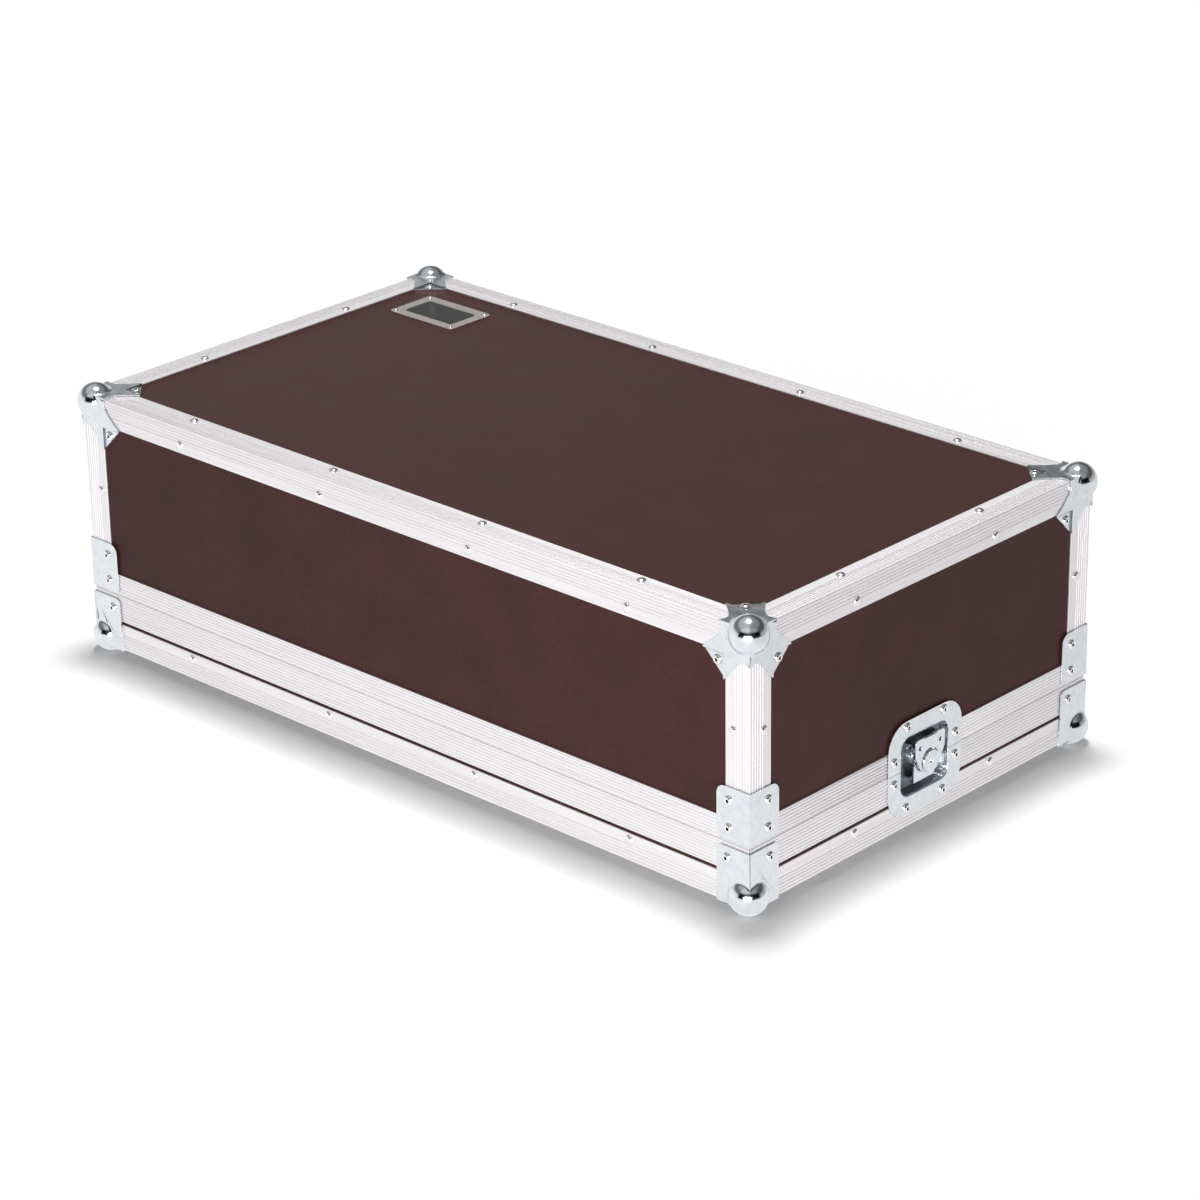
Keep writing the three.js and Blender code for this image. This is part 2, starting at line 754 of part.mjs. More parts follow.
function place(name, geometry, finish, group, height = 0) {
  const material = new THREE.MeshStandardMaterial({ ...finishes[finish], flatShading: true });
  const mesh = new THREE.Mesh(geometry, material);
  mesh.name = name;
  mesh.position.z = height;
  group.add(mesh);
}

const quarter = Math.PI / 2;
const sides = [
  { name: 'front', turn: 0, half: caseLength / 2, x: 0, y: -caseWidth / 2, long: true },
  { name: 'right', turn: quarter, half: caseWidth / 2, x: caseLength / 2, y: 0, ends: ['front', 'back'] },
  { name: 'back', turn: 2 * quarter, half: caseLength / 2, x: 0, y: caseWidth / 2, long: true },
  { name: 'left', turn: 3 * quarter, half: caseWidth / 2, x: -caseLength / 2, y: 0, ends: ['back', 'front'] },
];
const corners = [
  { name: 'front_left', turn: 0, x: -caseLength / 2, y: -caseWidth / 2 },
  { name: 'front_right', turn: quarter, x: caseLength / 2, y: -caseWidth / 2 },
  { name: 'back_right', turn: 2 * quarter, x: caseLength / 2, y: caseWidth / 2 },
  { name: 'back_left', turn: 3 * quarter, x: -caseLength / 2, y: caseWidth / 2 },
];

function groupAt(spot) {
  const group = new THREE.Group();
  group.position.set(spot.x, spot.y, 0);
  group.rotation.z = spot.turn;
  whole.add(group);
  return group;
}

function buildWalls(side, group) {
  const latchPocket = pocketCutter(latchMouthWidth, latchMouthHeight, latchMouthRadius);
  const handlePocket = pocketCutter(handleMouthWidth, handleMouthHeight, handleMouthRadius);
  const openings = side.long ? [] : [latchPocket.translate(0, 0, latchHeight)];
  const handleOpenings = side.name === 'back' ? [handlePocket.translate(0, 0, handleHeight)] : [];
  const coverWall = sidePanel(side, coverWallFoot, coverWallTop);
  const trayWall = sidePanel(side, trayWallFoot, trayWallTop);
  const topAngle = anglePoints(edgingWidth).map(([u, v]) => [u, caseHeight - v]);
  place(`cover_${side.name}_panel`, cutBy(coverWall, ...openings, ...handleOpenings), 'plywood', group);
  place(`tray_${side.name}_panel`, cutBy(trayWall, ...openings), 'plywood', group);
  place(`cover_top_edging_${side.name}`, mitred(topAngle, side.half, 0), 'aluminium', group);
  place(`tray_bottom_edging_${side.name}`, mitred(anglePoints(edgingWidth), side.half, 0),
    'aluminium', group);
}

function buildClosingEdging(side, group, kind, points) {
  if (side.long) {
    place(`${kind}_${side.name}`, mitred(points, side.half, trayHeight), 'aluminium', group);
    return;
  }
  const lengths = sawnPair(points, side.half, trayHeight);
  side.ends.forEach((end, i) => place(`${kind}_${side.name}_${end}`, lengths[i], 'aluminium', group));
}

function buildLatch(side, group) {
  place(`latch_upper_dish_${side.name}`, upperLatchDish(), 'zincSteel', group, latchHeight);
  place(`latch_lower_dish_${side.name}`, lowerLatchDish(), 'zincSteel', group, latchHeight);
  place(`latch_hook_${side.name}`, latchHook(), 'zincSteel', group, latchHeight);
  place(`latch_cam_${side.name}`, latchCam(), 'zincSteel', group, latchHeight);
  place(`latch_wing_${side.name}`, latchWing(), 'zincSteel', group, latchHeight);
}

function buildHandle(group) {
  place('handle_dish', handleDish(), 'zincSteel', group, handleHeight);
  place('handle_bail', handleBail(), 'zincSteel', group, handleHeight);
}

for (const side of sides) {
  const group = groupAt(side);
  buildWalls(side, group);
  buildClosingEdging(side, group, 'cover_closing_edging', coverLipPoints());
  buildClosingEdging(side, group, 'tray_closing_edging', trayLipPoints());
  if (!side.long) {
    buildLatch(side, group);
  }
  if (side.name === 'back') {
    buildHandle(group);
  }
}

for (const corner of corners) {
  const group = groupAt(corner);
  place(`cover_upright_edging_${corner.name}`, uprightEdging(), 'aluminium', group);
  place(`cover_ball_corner_${corner.name}`, coverBallCorner(), 'zincSteel', group, caseHeight);
  place(`cover_brace_${corner.name}`, coverBrace(), 'zincSteel', group);
  place(`tray_ball_corner_${corner.name}`, trayBallCorner(), 'zincSteel', group);
}

place('tray_floor_panel', floorPanel(panelInset), 'plywood', whole);
place('tray_carpet', lining(trayWallFoot, carpetThickness), 'carpet', whole);
place('cover_top_panel', floorPanel(caseHeight - panelInset - panelThickness), 'plywood', whole);
place('cover_foam', lining(coverWallTop - foamThickness, foamThickness), 'foam', whole);

export default whole;
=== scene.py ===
import itertools
import math

import bmesh
import bpy
from mathutils import Matrix, Vector


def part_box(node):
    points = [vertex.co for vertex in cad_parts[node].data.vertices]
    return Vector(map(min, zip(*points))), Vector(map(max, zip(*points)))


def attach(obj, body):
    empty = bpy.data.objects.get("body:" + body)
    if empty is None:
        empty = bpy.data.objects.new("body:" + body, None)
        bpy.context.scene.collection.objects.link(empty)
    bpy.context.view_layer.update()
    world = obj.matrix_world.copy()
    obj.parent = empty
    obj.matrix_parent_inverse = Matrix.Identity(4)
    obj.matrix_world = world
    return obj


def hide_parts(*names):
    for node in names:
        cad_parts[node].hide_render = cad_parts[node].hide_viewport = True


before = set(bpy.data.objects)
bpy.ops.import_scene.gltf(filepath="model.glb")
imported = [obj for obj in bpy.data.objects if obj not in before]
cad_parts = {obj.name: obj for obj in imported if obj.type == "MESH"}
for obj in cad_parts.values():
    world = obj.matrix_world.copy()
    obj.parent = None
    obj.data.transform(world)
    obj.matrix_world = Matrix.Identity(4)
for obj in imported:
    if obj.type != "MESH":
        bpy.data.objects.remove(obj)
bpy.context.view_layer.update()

# Outer size over the aluminium, and the height of its underside over the ground
LENGTH = 937
WIDTH = 517
HEIGHT = 288
STAND = 10.3
PARTING = 63.6
GAP = 0.3
# How far a block reaches that cuts or keeps all on its side
FAR = 60

# Edging. Its grooves are drawn a little wider and deeper than the real ones, so that they show.
WALL = 1.5
FLANGE = 30
COVER_LIP = 25
TRAY_LIP = 30
LEG_INSET = 12.1
LIP_DEPTH = 13.6
RIB_PITCH = 3.5
RIB_WIDTH = 1.1
RIB_DEPTH = 0.4
ANGLE_RIBS = 5
CORNER_ROUND = 1.2
TIP = 0.3

# Ball corners and braces
BALL_RADIUS = 19.7
BALL_INSET = 9.4
SHEET = 1.2
BRACKET = GAP + SHEET
PANEL_INSET = WALL + GAP
TAB_LEVEL = GAP - PANEL_INSET
CRANK_INNER = 30.4
CRANK = CRANK_INNER + SHEET
BRACKET_REACH = 37
BRACKET_TIP = 57
BRACKET_TIP_SIDE = 30.5
HOLLOW_REACH = 34.5
HOLLOW_SIDE = 7
FOLDED_WIDTH = 40
SHEET_ROUND = 0.4

# Latch, drawn round its turning axis
LATCH_HEIGHT = 65.1
LATCH_MOUTH = (73, 62.5, 11)
LATCH_PLATE = (113, 101, 27)
LATCH_FLOOR = 10.6
LATCH_CUTOUT_HALF = 41.5
DISH_WALL = 1
DISH_ROUND = 0.25
WING_PIN_HEIGHT = -4
WING_PIN_LEVEL = 3.7
WING_NOTCH = 13
WING_LEG = 14.6
WING_LUG = 2.2
HOOK_PIN_HEIGHT = 18
HOOK_PIN_DEPTH = 4

# Handle, drawn round the middle of its dish
HANDLE_HEIGHT = (PARTING + COVER_LIP + HEIGHT - FLANGE) / 2
HANDLE_MOUTH = (134, 76, 16)
HANDLE_PLATE = (172, 104, 14)
HANDLE_FLOOR = 12.8
BAIL_PIN_HEIGHT = 24
BAIL_FOOT = -20
BAIL_DEPTH = 3.9


def mm(*place):
    """A place or a way in millimetres, as metres."""
    return Vector(place) / 1000


# Working with objects


def deselect():
    if bpy.context.mode != "OBJECT":
        bpy.ops.object.mode_set(mode="OBJECT")
    bpy.ops.object.select_all(action="DESELECT")


def pick(piece):
    """Makes this the only selected object, and the active one, out of edit mode."""
    deselect()
    piece.select_set(True)
    bpy.context.view_layer.objects.active = piece


def edit(piece):
    pick(piece)
    bpy.ops.object.mode_set(mode="EDIT")
    bpy.ops.mesh.select_mode(type="VERT")


def select_where(piece, kind, test):
    """Selects the vertices, edges or faces of a mesh in edit mode that pass a test."""
    shape = bmesh.from_edit_mesh(piece.data)
    bpy.ops.mesh.select_mode(type={"verts": "VERT", "edges": "EDGE", "faces": "FACE"}[kind])
    bpy.ops.mesh.select_all(action="DESELECT")
    for part in getattr(shape, kind):
        part.select_set(test(part))
    bmesh.update_edit_mesh(piece.data)


def face_outwards():
    bpy.ops.mesh.select_all(action="SELECT")
    bpy.ops.mesh.normals_make_consistent(inside=False)


def settle(piece):
    """Leaves edit mode and puts the piece's place into its mesh."""
    pick(piece)
    bpy.ops.object.transform_apply(location=True, rotation=True, scale=True)
    return piece


def moved(piece, matrix):
    piece.matrix_world = matrix
    return settle(piece)


def copied(piece, matrix):
    """A copy with a mesh of its own, at another place."""
    twin = piece.copy()
    twin.data = piece.data.copy()
    bpy.context.scene.collection.objects.link(twin)
    return moved(twin, matrix)


def united(pieces):
    """Several pieces as one object, without cutting them."""
    deselect()
    for piece in pieces:
        piece.select_set(True)
    bpy.context.view_layer.objects.active = pieces[0]
    bpy.ops.object.join()
    return pieces[0]


def apply_modifier(piece, kind, **settings):
    modifier = piece.modifiers.new(kind.title(), kind)
    for name, value in settings.items():
        setattr(modifier, name, value)
    pick(piece)
    bpy.ops.object.modifier_apply(modifier=modifier.name)
    return piece


def combine(piece, operation, *others):
    """Adds other pieces to a piece, cuts them out of it or keeps what they share with it."""
    for other in others:
        apply_modifier(piece, "BOOLEAN", object=other, operation=operation, solver="EXACT")
        bpy.data.objects.remove(other)
    return piece


def round_edges(piece, width, segments=2):
    """Rounds the edges at which the faces turn by more than 40 degrees."""
    return apply_modifier(
        piece, "BEVEL", width=width / 1000, segments=segments,
        limit_method="ANGLE", angle_limit=math.radians(40))


def smooth(piece, angle=32):
    """Smooth shading up to an angle, weighted so that large flat faces still look flat."""
    pick(piece)
    bpy.ops.object.shade_smooth_by_angle(angle=math.radians(angle))
    return apply_modifier(piece, "WEIGHTED_NORMAL", keep_sharp=True)


# Basic shapes


def block(low, high):
    """A box between two corners."""
    low, high = mm(*low), mm(*high)
    deselect()
    bpy.ops.mesh.primitive_cube_add(size=1, location=(low + high) / 2, scale=high - low)
    return settle(bpy.context.object)


def rod(radius, middle, length, along, sides=32):
    """A cylinder round X, Y or Z."""
    turn = {"X": (0, math.pi / 2, 0), "Y": (math.pi / 2, 0, 0), "Z": (0, 0, 0)}[along]
    deselect()
    bpy.ops.mesh.primitive_cylinder_add(
        vertices=sides, radius=radius / 1000, depth=length / 1000, location=mm(*middle), rotation=turn)
    return settle(bpy.context.object)


def drawn_line(points):
    """One vertex, extruded from point to point. Stays in edit mode."""
    deselect()
    bpy.ops.mesh.primitive_plane_add(size=0.001, location=mm(*points[0]))
    piece = bpy.context.object
    edit(piece)
    bpy.ops.mesh.merge(type="CENTER")
    for here, there in zip(points, points[1:]):
        bpy.ops.mesh.extrude_vertices_move(TRANSFORM_OT_translate={"value": mm(*there) - mm(*here)})
    bpy.ops.mesh.select_all(action="SELECT")
    return piece


def prism(points, way):
    """A closed outline, filled and extruded by a way."""
    piece = drawn_line(points)
    bpy.ops.mesh.edge_face_add()
    bpy.ops.mesh.extrude_region_move(TRANSFORM_OT_translate={"value": mm(*way)})
    face_outwards()
    return settle(piece)


def spun(profile, steps):
    """A line of (radius, height) turned round Z, with its ends on the axis or closed on itself."""
    piece = drawn_line([(radius, 0, height) for radius, height in profile])
    bpy.ops.mesh.spin(steps=steps, angle=2 * math.pi, center=(0, 0, 0), axis=(0, 0, 1))
    bpy.ops.mesh.select_all(action="SELECT")
    bpy.ops.mesh.remove_doubles(threshold=0.00001)
    face_outwards()
    return settle(piece)


def arc(centre, radius, start, end, steps):
    """Points of an arc in a plane, from one angle to another in degrees."""
    angles = [math.radians(start + (end - start) * i / steps) for i in range(steps + 1)]
    return [(centre[0] + radius * math.cos(a), centre[1] + radius * math.sin(a)) for a in angles]


def rounded_rectangle(width, height, radius):
    x, y, steps = width / 2 - radius, height / 2 - radius, 7
    return [point for centre, start in (((x, -y), -90), ((x, y), 0), ((-x, y), 90), ((-x, -y), 180))
            for point in arc(centre, radius, start, start + 90, steps)]


def curve_between(start, control, end, steps):
    """Points of a quadratic curve, without its first one."""
    result = []
    for i in range(1, steps + 1):
        t = i / steps
        result.append(tuple(
            (1 - t) ** 2 * s + 2 * t * (1 - t) * c + t * t * e for s, c, e in zip(start, control, end)))
    return result


# Materials. A pattern's scale comes from a size in millimetres. A bump's distance is in metres.


def linear(code):
    """A linear colour from an sRGB hex value."""
    parts = [int(code[i:i + 2], 16) / 255 for i in (1, 3, 5)]
    return [c / 12.92 if c <= 0.04045 else ((c + 0.055) / 1.055) ** 2.4 for c in parts] + [1]


def add_node(tree, kind, sockets=None, stops=(), **settings):
    """Adds a node with its settings, its sockets set or linked, and a ramp's stops of (position,
    hex colour). A node given for a socket stands for its first output."""
    node = tree.nodes.new("ShaderNode" + kind)
    for name, value in settings.items():
        setattr(node, name, value)
    for name, value in (sockets or {}).items():
        if isinstance(value, bpy.types.Node):
            value = value.outputs[0]
        if isinstance(value, bpy.types.NodeSocket):
            tree.links.new(value, node.inputs[name])
        else:
            node.inputs[name].default_value = value
    elements = node.color_ramp.elements if stops else []
    while len(elements) < len(stops):
        elements.new(0.5)
    for element, (position, code) in zip(elements, stops):
        element.position = position
        element.color = linear(code)
    return node


def new_material(name, **shader):
    """A material, its nodes and its object coordinates, with values set on its shader's sockets."""
    material = bpy.data.materials.new(name)
    material.use_nodes = True
    tree = material.node_tree
    for socket, value in shader.items():
        tree.nodes["Principled BSDF"].inputs[socket.replace("_", " ")].default_value = value
    return material, tree, add_node(tree, "TexCoord").outputs["Object"]


def finished(material, colour, shine=None, bump=None, invert=False):
    """Gives a material its colour (a pattern and the stops of its ramp), its roughness (a pattern
    and its range) and its relief (a pattern, its strength and its depth)."""
    tree = material.node_tree
    pattern, *stops = colour
    looks = {"Base Color": add_node(tree, "ValToRGB", {"Fac": pattern}, stops)}
    if shine:
        # Most of a noise texture's values lie between 0.3 and 0.7
        pattern, low, high = shine
        looks["Roughness"] = add_node(tree, "MapRange", {
            "Value": pattern, "From Min": 0.3, "From Max": 0.7, "To Min": low, "To Max": high})
    if bump:
        pattern, strength, depth = bump
        looks["Normal"] = add_node(tree, "Bump", {
            "Height": pattern, "Strength": strength, "Distance": depth}, invert=invert)
    for socket, node in looks.items():
        tree.links.new(node.outputs[0], tree.nodes["Principled BSDF"].inputs[socket])
    return material


def per_metre(size):
    """A texture scale from the size of one feature in millimetres."""
    return 1000 / size


def film_faced_plywood():
    # Birch plywood under a dark brown phenolic film, hot pressed: satin, with the fine pebbled
    # grain of the press sheet and faint cloudy patches where the wood shows through the film.
    material, tree, place = new_material("film_faced_plywood", Specular_IOR_Level=0.11)
    cloud = add_node(tree, "TexNoise", {"Vector": place, "Scale": per_metre(60), "Detail": 5})
    grain = add_node(tree, "TexNoise", {"Vector": place, "Scale": per_metre(1.6), "Detail": 3})
    pebble = add_node(tree, "TexVoronoi", {"Vector": place, "Scale": per_metre(1.3)})
    both = add_node(tree, "Math", {0: cloud, 1: grain}, operation="ADD")
    half = add_node(tree, "Math", {0: both, 1: 0.5}, operation="MULTIPLY")
    return finished(material, colour=(half, (0.38, "#3e2422"), (0.5, "#432725"), (0.62, "#482b29")),
                    shine=(cloud, 0.4, 0.48), bump=(pebble, 0.45, 0.0002))


def extruded_aluminium(along):
    # Natural extruded aluminium: bright and slightly milky, with long die lines and a few finer
    # and darker streaks, all along the length of the profile.
    material, tree, place = new_material(f"extruded_aluminium_{along}", Metallic=1)
    line, length, coarser = per_metre(0.7), per_metre(160), 6
    fine = [length if axis == along else line for axis in "xyz"]
    broad = [scale / coarser for scale in fine]
    streaked = add_node(tree, "Mapping", {"Vector": place, "Scale": fine})
    clouded = add_node(tree, "Mapping", {"Vector": place, "Scale": broad})
    streaks = add_node(tree, "TexNoise", {"Vector": streaked, "Scale": 1, "Detail": 4})
    clouds = add_node(tree, "TexNoise", {"Vector": clouded, "Scale": 1, "Detail": 2})
    return finished(material, colour=(streaks, (0.3, "#eae7e9"), (0.5, "#f4f1f3"), (0.7, "#faf8fa")),
                    shine=(clouds, 0.48, 0.6), bump=(streaks, 0.2, 0.00004))


def zinc_plated_steel(name, low_shine, high_shine, dark="#dadfe4", light="#e8ebee"):
    # Pressed steel, bright zinc plated: light grey with a blue cast, cloudy from the plating
    # bath, with a faint haze. Low and high shine are the roughness of its clear and cloudy parts.
    material, tree, place = new_material(name, Metallic=1)
    cloud = add_node(tree, "TexNoise", {"Vector": place, "Scale": per_metre(9), "Detail": 4})
    haze = add_node(tree, "TexNoise", {"Vector": place, "Scale": per_metre(1.1), "Detail": 2})
    return finished(material, colour=(cloud, (0.3, dark), (0.7, light)),
                    shine=(cloud, low_shine, high_shine), bump=(haze, 0.05, 0.00003))


def painted_shade_bore_finish():
    # The bore of a tubular rivet, torn open by its setting pin: bare steel, rough and dull, its dark
    # colour painted shade for a hole deeper than the one drawn.
    material, tree, place = new_material("rivet_bore_painted_shade", Metallic=1, Roughness=0.55)
    scale = add_node(tree, "TexNoise", {"Vector": place, "Scale": per_metre(0.8), "Detail": 2})
    return finished(material, colour=(scale, (0.35, "#231f1e"), (0.65, "#3a3534")))


def nickel_plated_steel():
    # Rivets of nickel-plated steel: whiter than the zinc, smooth, faintly clouded where the
    # setting tool has rubbed them.
    material, tree, place = new_material("nickel_plated_steel", Metallic=1)
    cloud = add_node(tree, "TexNoise", {"Vector": place, "Scale": per_metre(3), "Detail": 3})
    return finished(material, colour=(cloud, (0.35, "#efecec"), (0.65, "#f8f6f6")),
                    shine=(cloud, 0.12, 0.2))


def moulded_rubber():
    # Moulded black rubber: matt, slightly grey where hands have polished the ribs.
    material, tree, place = new_material("moulded_rubber", Roughness=0.62)
    bloom = add_node(tree, "TexNoise", {"Vector": place, "Scale": per_metre(4), "Detail": 4})
    grit = add_node(tree, "TexNoise", {"Vector": place, "Scale": per_metre(0.5), "Detail": 2})
    return finished(material, colour=(bloom, (0.35, "#19191a"), (0.65, "#262627")),
                    bump=(grit, 0.3, 0.0001))


def cellular_foam():
    # Dark grey polyurethane foam: matt, with small open cells of about a millimetre.
    material, tree, place = new_material("cellular_foam", Roughness=0.95)
    cells = add_node(tree, "TexVoronoi", {"Vector": place, "Scale": per_metre(1.2)})
    return finished(material, colour=(cells, (0.1, "#1f1f21"), (0.6, "#363639")),
                    bump=(cells, 0.6, 0.0005))


def looped_carpet():
    # Short loop-pile carpet of synthetic fibre, charcoal, with loops of about 2 mm.
    material, tree, place = new_material("looped_carpet", Roughness=0.9, Sheen_Weight=0.3)
    loops = add_node(tree, "TexVoronoi", {"Vector": place, "Scale": per_metre(2.2)})
    fibre = add_node(tree, "TexNoise", {"Vector": place, "Scale": per_metre(0.8), "Detail": 4})
    return finished(material, colour=(fibre, (0.3, "#29292c"), (0.7, "#4a4a50")),
                    bump=(loops, 0.9, 0.0012), invert=True)


def etched_sheet_aluminium():
    # Sheet aluminium of the name plate, rolled and etched: an even satin grey, finely mottled.
    material, tree, place = new_material("etched_sheet_aluminium", Metallic=1)
    mottle = add_node(tree, "TexNoise", {"Vector": place, "Scale": per_metre(1.5), "Detail": 3})
    return finished(material, colour=(mottle, (0.35, "#c4bcba"), (0.65, "#d3cbc9")),
                    shine=(mottle, 0.4, 0.5))


def stove_enamel():
    # Black stoved enamel in the field of the name plate: smooth, with a slight orange peel.
    material, tree, place = new_material("black_stove_enamel", Roughness=0.3, Specular_IOR_Level=0.25)
    peel = add_node(tree, "TexNoise", {"Vector": place, "Scale": per_metre(2), "Detail": 2})
    return finished(material, colour=(peel, (0.4, "#1d1b1b"), (0.6, "#242121")),
                    bump=(peel, 0.15, 0.0001))


plywood = film_faced_plywood()
aluminium = {along: extruded_aluminium(along) for along in "xyz"}
zinc = zinc_plated_steel("zinc_plated_steel", 0.18, 0.28)
polished_zinc = zinc_plated_steel("polished_zinc_plate", 0.1, 0.16)
# A rougher zinc whose darker colour is painted shade, put in the cranked folds of the ball corners and
# deep inside the latch dishes.
dull_zinc_painted_shade = zinc_plated_steel("zinc_plate_dulled_painted_shade", 0.34, 0.46, "#6f787e", "#8a9398")
nickel = nickel_plated_steel()
bore = painted_shade_bore_finish()
rubber = moulded_rubber()
foam = cellular_foam()
carpet = looped_carpet()
etched = etched_sheet_aluminium()
enamel = stove_enamel()

# Placing pieces

QUARTER = math.pi / 2
# A side's turn, the middle of its face at the ground of the aluminium, and half its length
SIDES = {
    "front": (0, 0, -WIDTH / 2, LENGTH / 2),
    "right": (QUARTER, LENGTH / 2, 0, WIDTH / 2),
    "back": (2 * QUARTER, 0, WIDTH / 2, LENGTH / 2),
    "left": (3 * QUARTER, -LENGTH / 2, 0, WIDTH / 2),
}
# A corner's turn and place
CORNERS = {
    "front_left": (0, -LENGTH / 2, -WIDTH / 2),
    "front_right": (QUARTER, LENGTH / 2, -WIDTH / 2),
    "back_right": (2 * QUARTER, LENGTH / 2, WIDTH / 2),
    "back_left": (3 * QUARTER, -LENGTH / 2, WIDTH / 2),
}
# Turns that face a piece modelled upwards out of a side, out of the side across a corner, or down
FACING = {
    "out": Matrix.Rotation(QUARTER, 4, "X"),
    "up": Matrix.Identity(4),
    "down": Matrix.Rotation(math.pi, 4, "X"),
    "across": Matrix.Rotation(-QUARTER, 4, "Y"),
}


def at_side(side, height=0):
    """From a side's frame: X along it, Y into the case from the aluminium's face, Z up."""
    turn, x, y, _ = SIDES[side]
    return Matrix.Translation(mm(x, y, STAND + height)) @ Matrix.Rotation(turn, 4, "Z")


def at_corner(corner, height=0):
    """From a corner's frame: X and Y into the case, Z up."""
    turn, x, y = CORNERS[corner]
    return Matrix.Translation(mm(x, y, STAND + height)) @ Matrix.Rotation(turn, 4, "Z")


def coated(piece, *finishes, choose=None):
    """Gives a piece its finish. Of several, choose gives the number of a face's own from its
    centre in millimetres."""
    piece.data.materials.clear()
    for finish in finishes:
        piece.data.materials.append(finish)
    if choose:
        for face in piece.data.polygons:
            face.material_index = choose(face.center * 1000)
    return piece


def dress(piece, name, body, node=None):
    """Names a finished piece and puts it on its body, in the place of a CAD node if it has one."""
    piece.name = name
    piece.data.name = name
    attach(piece, body)
    if node:
        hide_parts(node)
    return piece


def place_copies(model, spots, kind, node, body):
    """Copies of a model in place of CAD nodes, from spots of {ending of the names: matrix}. Where
    a body's name has braces, they stand for the ending too."""
    for ending, spot in spots.items():
        dress(copied(model, spot), f"{kind}_{ending}", body.format(ending), f"{node}_{ending}")
    bpy.data.objects.remove(model)


# Edging


def ribbed(width, count=None):
    """A flange's outer face from its edge inwards: (along, depth) points with fine grooves, all
    over the flange or a count of them beside the corner."""
    first = RIB_PITCH + 0.5
    if count is None:
        count = int(width / RIB_PITCH)
        first = (width - (count - 1) * RIB_PITCH) / 2
    points = []
    for i in range(count):
        middle = first + i * RIB_PITCH
        points += [(middle - RIB_WIDTH / 2, 0), (middle - RIB_WIDTH / 4, RIB_DEPTH),
                   (middle + RIB_WIDTH / 4, RIB_DEPTH), (middle + RIB_WIDTH / 2, 0)]
    return points


def angle_profile(width):
    """Angle with both flanges as wide: u runs into the case, v along the other flange."""
    ribs = ribbed(width, ANGLE_RIBS)
    corner = arc((CORNER_ROUND, CORNER_ROUND), CORNER_ROUND, 270, 180, 4)
    return [
        (WALL, width), (WALL, WALL), (width, WALL), (width, TIP), (width - TIP, 0),
        *reversed(ribs), *corner, *[(depth, along) for along, depth in ribs],
        (0, width - TIP), (TIP, width),
    ]


def cover_lip_profile():
    """The cover's closing profile, with a channel between near and far that takes the tongue."""
    near, far, channel, roof, leg = 4.5, 8.9, 6.7, 8.5, 22
    return [
        (WALL, COVER_LIP), (WALL, roof), (LEG_INSET, roof), (LEG_INSET, leg), (LIP_DEPTH, leg),
        (LIP_DEPTH, GAP), (far, GAP), (far, channel), (near, channel), (near, GAP),
        (TIP, GAP), (0, GAP + TIP), *[(depth, along) for along, depth in ribbed(COVER_LIP)],
        (0, COVER_LIP - TIP), (TIP, COVER_LIP),
    ]


def tray_lip_profile():
    """The tray's closing profile, with a tongue between near and far that narrows to its top."""
    near, middle, far, tongue, leg = 5.2, 6.7, 8.2, 6, 12
    shoulder, nose, slope = 1.5, 0.4, 0.6
    return [
        (WALL, -TRAY_LIP), (WALL, -WALL), (LEG_INSET, -WALL), (LEG_INSET, -leg), (LIP_DEPTH, -leg),
        (LIP_DEPTH, 0), (far, 0), (far, tongue - shoulder), (far - slope, tongue - nose),
        (middle, tongue), (near + slope, tongue - nose), (near, tongue - shoulder), (near, 0),
        (TIP, 0), (0, -TIP), *[(depth, -along) for along, depth in ribbed(TRAY_LIP)],
        (0, TIP - TRAY_LIP), (TIP, -TRAY_LIP),
    ]


def sawn(bar, place, normal):
    """Cuts a bar in edit mode off beyond a plane, and closes the cut."""
    bpy.ops.mesh.select_all(action="SELECT")
    bpy.ops.mesh.bisect(plane_co=mm(*place), plane_no=normal, use_fill=True, clear_outer=True)
    return bar


def mitred_bar(profile, half):
    """A profile extruded along a side and cut at 45 degrees at both ends."""
    bar = prism([(-half, u, v) for u, v in profile], (2 * half, 0, 0))
    edit(bar)
    for way in (1, -1):
        sawn(bar, (way * (half - GAP), 0, 0), (way, 1, 0))
    return smooth(settle(bar))


def sawn_at_dish(bar, way):
    """The length of a side's bar on one side of the latch dish, with a square end there."""
    part = copied(bar, Matrix.Identity(4))
    edit(part)
    return smooth(settle(sawn(part, (way * LATCH_CUTOUT_HALF, 0, 0), (-way, 0, 0))))


# Where the two lengths of a parted closing lip lie, by side and by end of the side's bar
LENGTH_ENDS = {
    ("right", "start"): "_front", ("right", "end"): "_back",
    ("left", "start"): "_back", ("left", "end"): "_front",
}


def build_edging():
    top = [(u, HEIGHT - v) for u, v in angle_profile(FLANGE)]
    cover_lip = [(u, v + PARTING) for u, v in cover_lip_profile()]
    tray_lip = [(u, v + PARTING) for u, v in tray_lip_profile()]
    kinds = [
        ("top_angle", "top_edging", "cover", top),
        ("closing_lip", "closing_edging", "cover", cover_lip),
        ("closing_lip", "closing_edging", "tray", tray_lip),
        ("bottom_angle", "bottom_edging", "tray", angle_profile(FLANGE)),
    ]
    for kind, node, body, profile in kinds:
        for sides, along in ((("front", "back"), "x"), (("right", "left"), "y")):
            bar = mitred_bar(profile, SIDES[sides[0]][3])
            lengths = {"": bar}
            if along == "y" and kind == "closing_lip":
                lengths = {"start": sawn_at_dish(bar, -1), "end": sawn_at_dish(bar, 1)}
                bpy.data.objects.remove(bar)
            for part, model in lengths.items():
                spots = {side + LENGTH_ENDS.get((side, part), ""): at_side(side) for side in sides}
                place_copies(coated(model, aluminium[along]), spots, f"{body}_{kind}", f"{body}_{node}",
                             body)


def build_upright_edging():
    foot, top = PARTING + COVER_LIP + GAP, HEIGHT - FLANGE - GAP
    bar = prism([(u, v, foot) for u, v in angle_profile(FLANGE)], (0, 0, top - foot))
    spots = {corner: at_corner(corner) for corner in CORNERS}
    place_copies(coated(smooth(bar), aluminium["z"]), spots, "cover_upright_angle",
                 "cover_upright_edging", "cover")


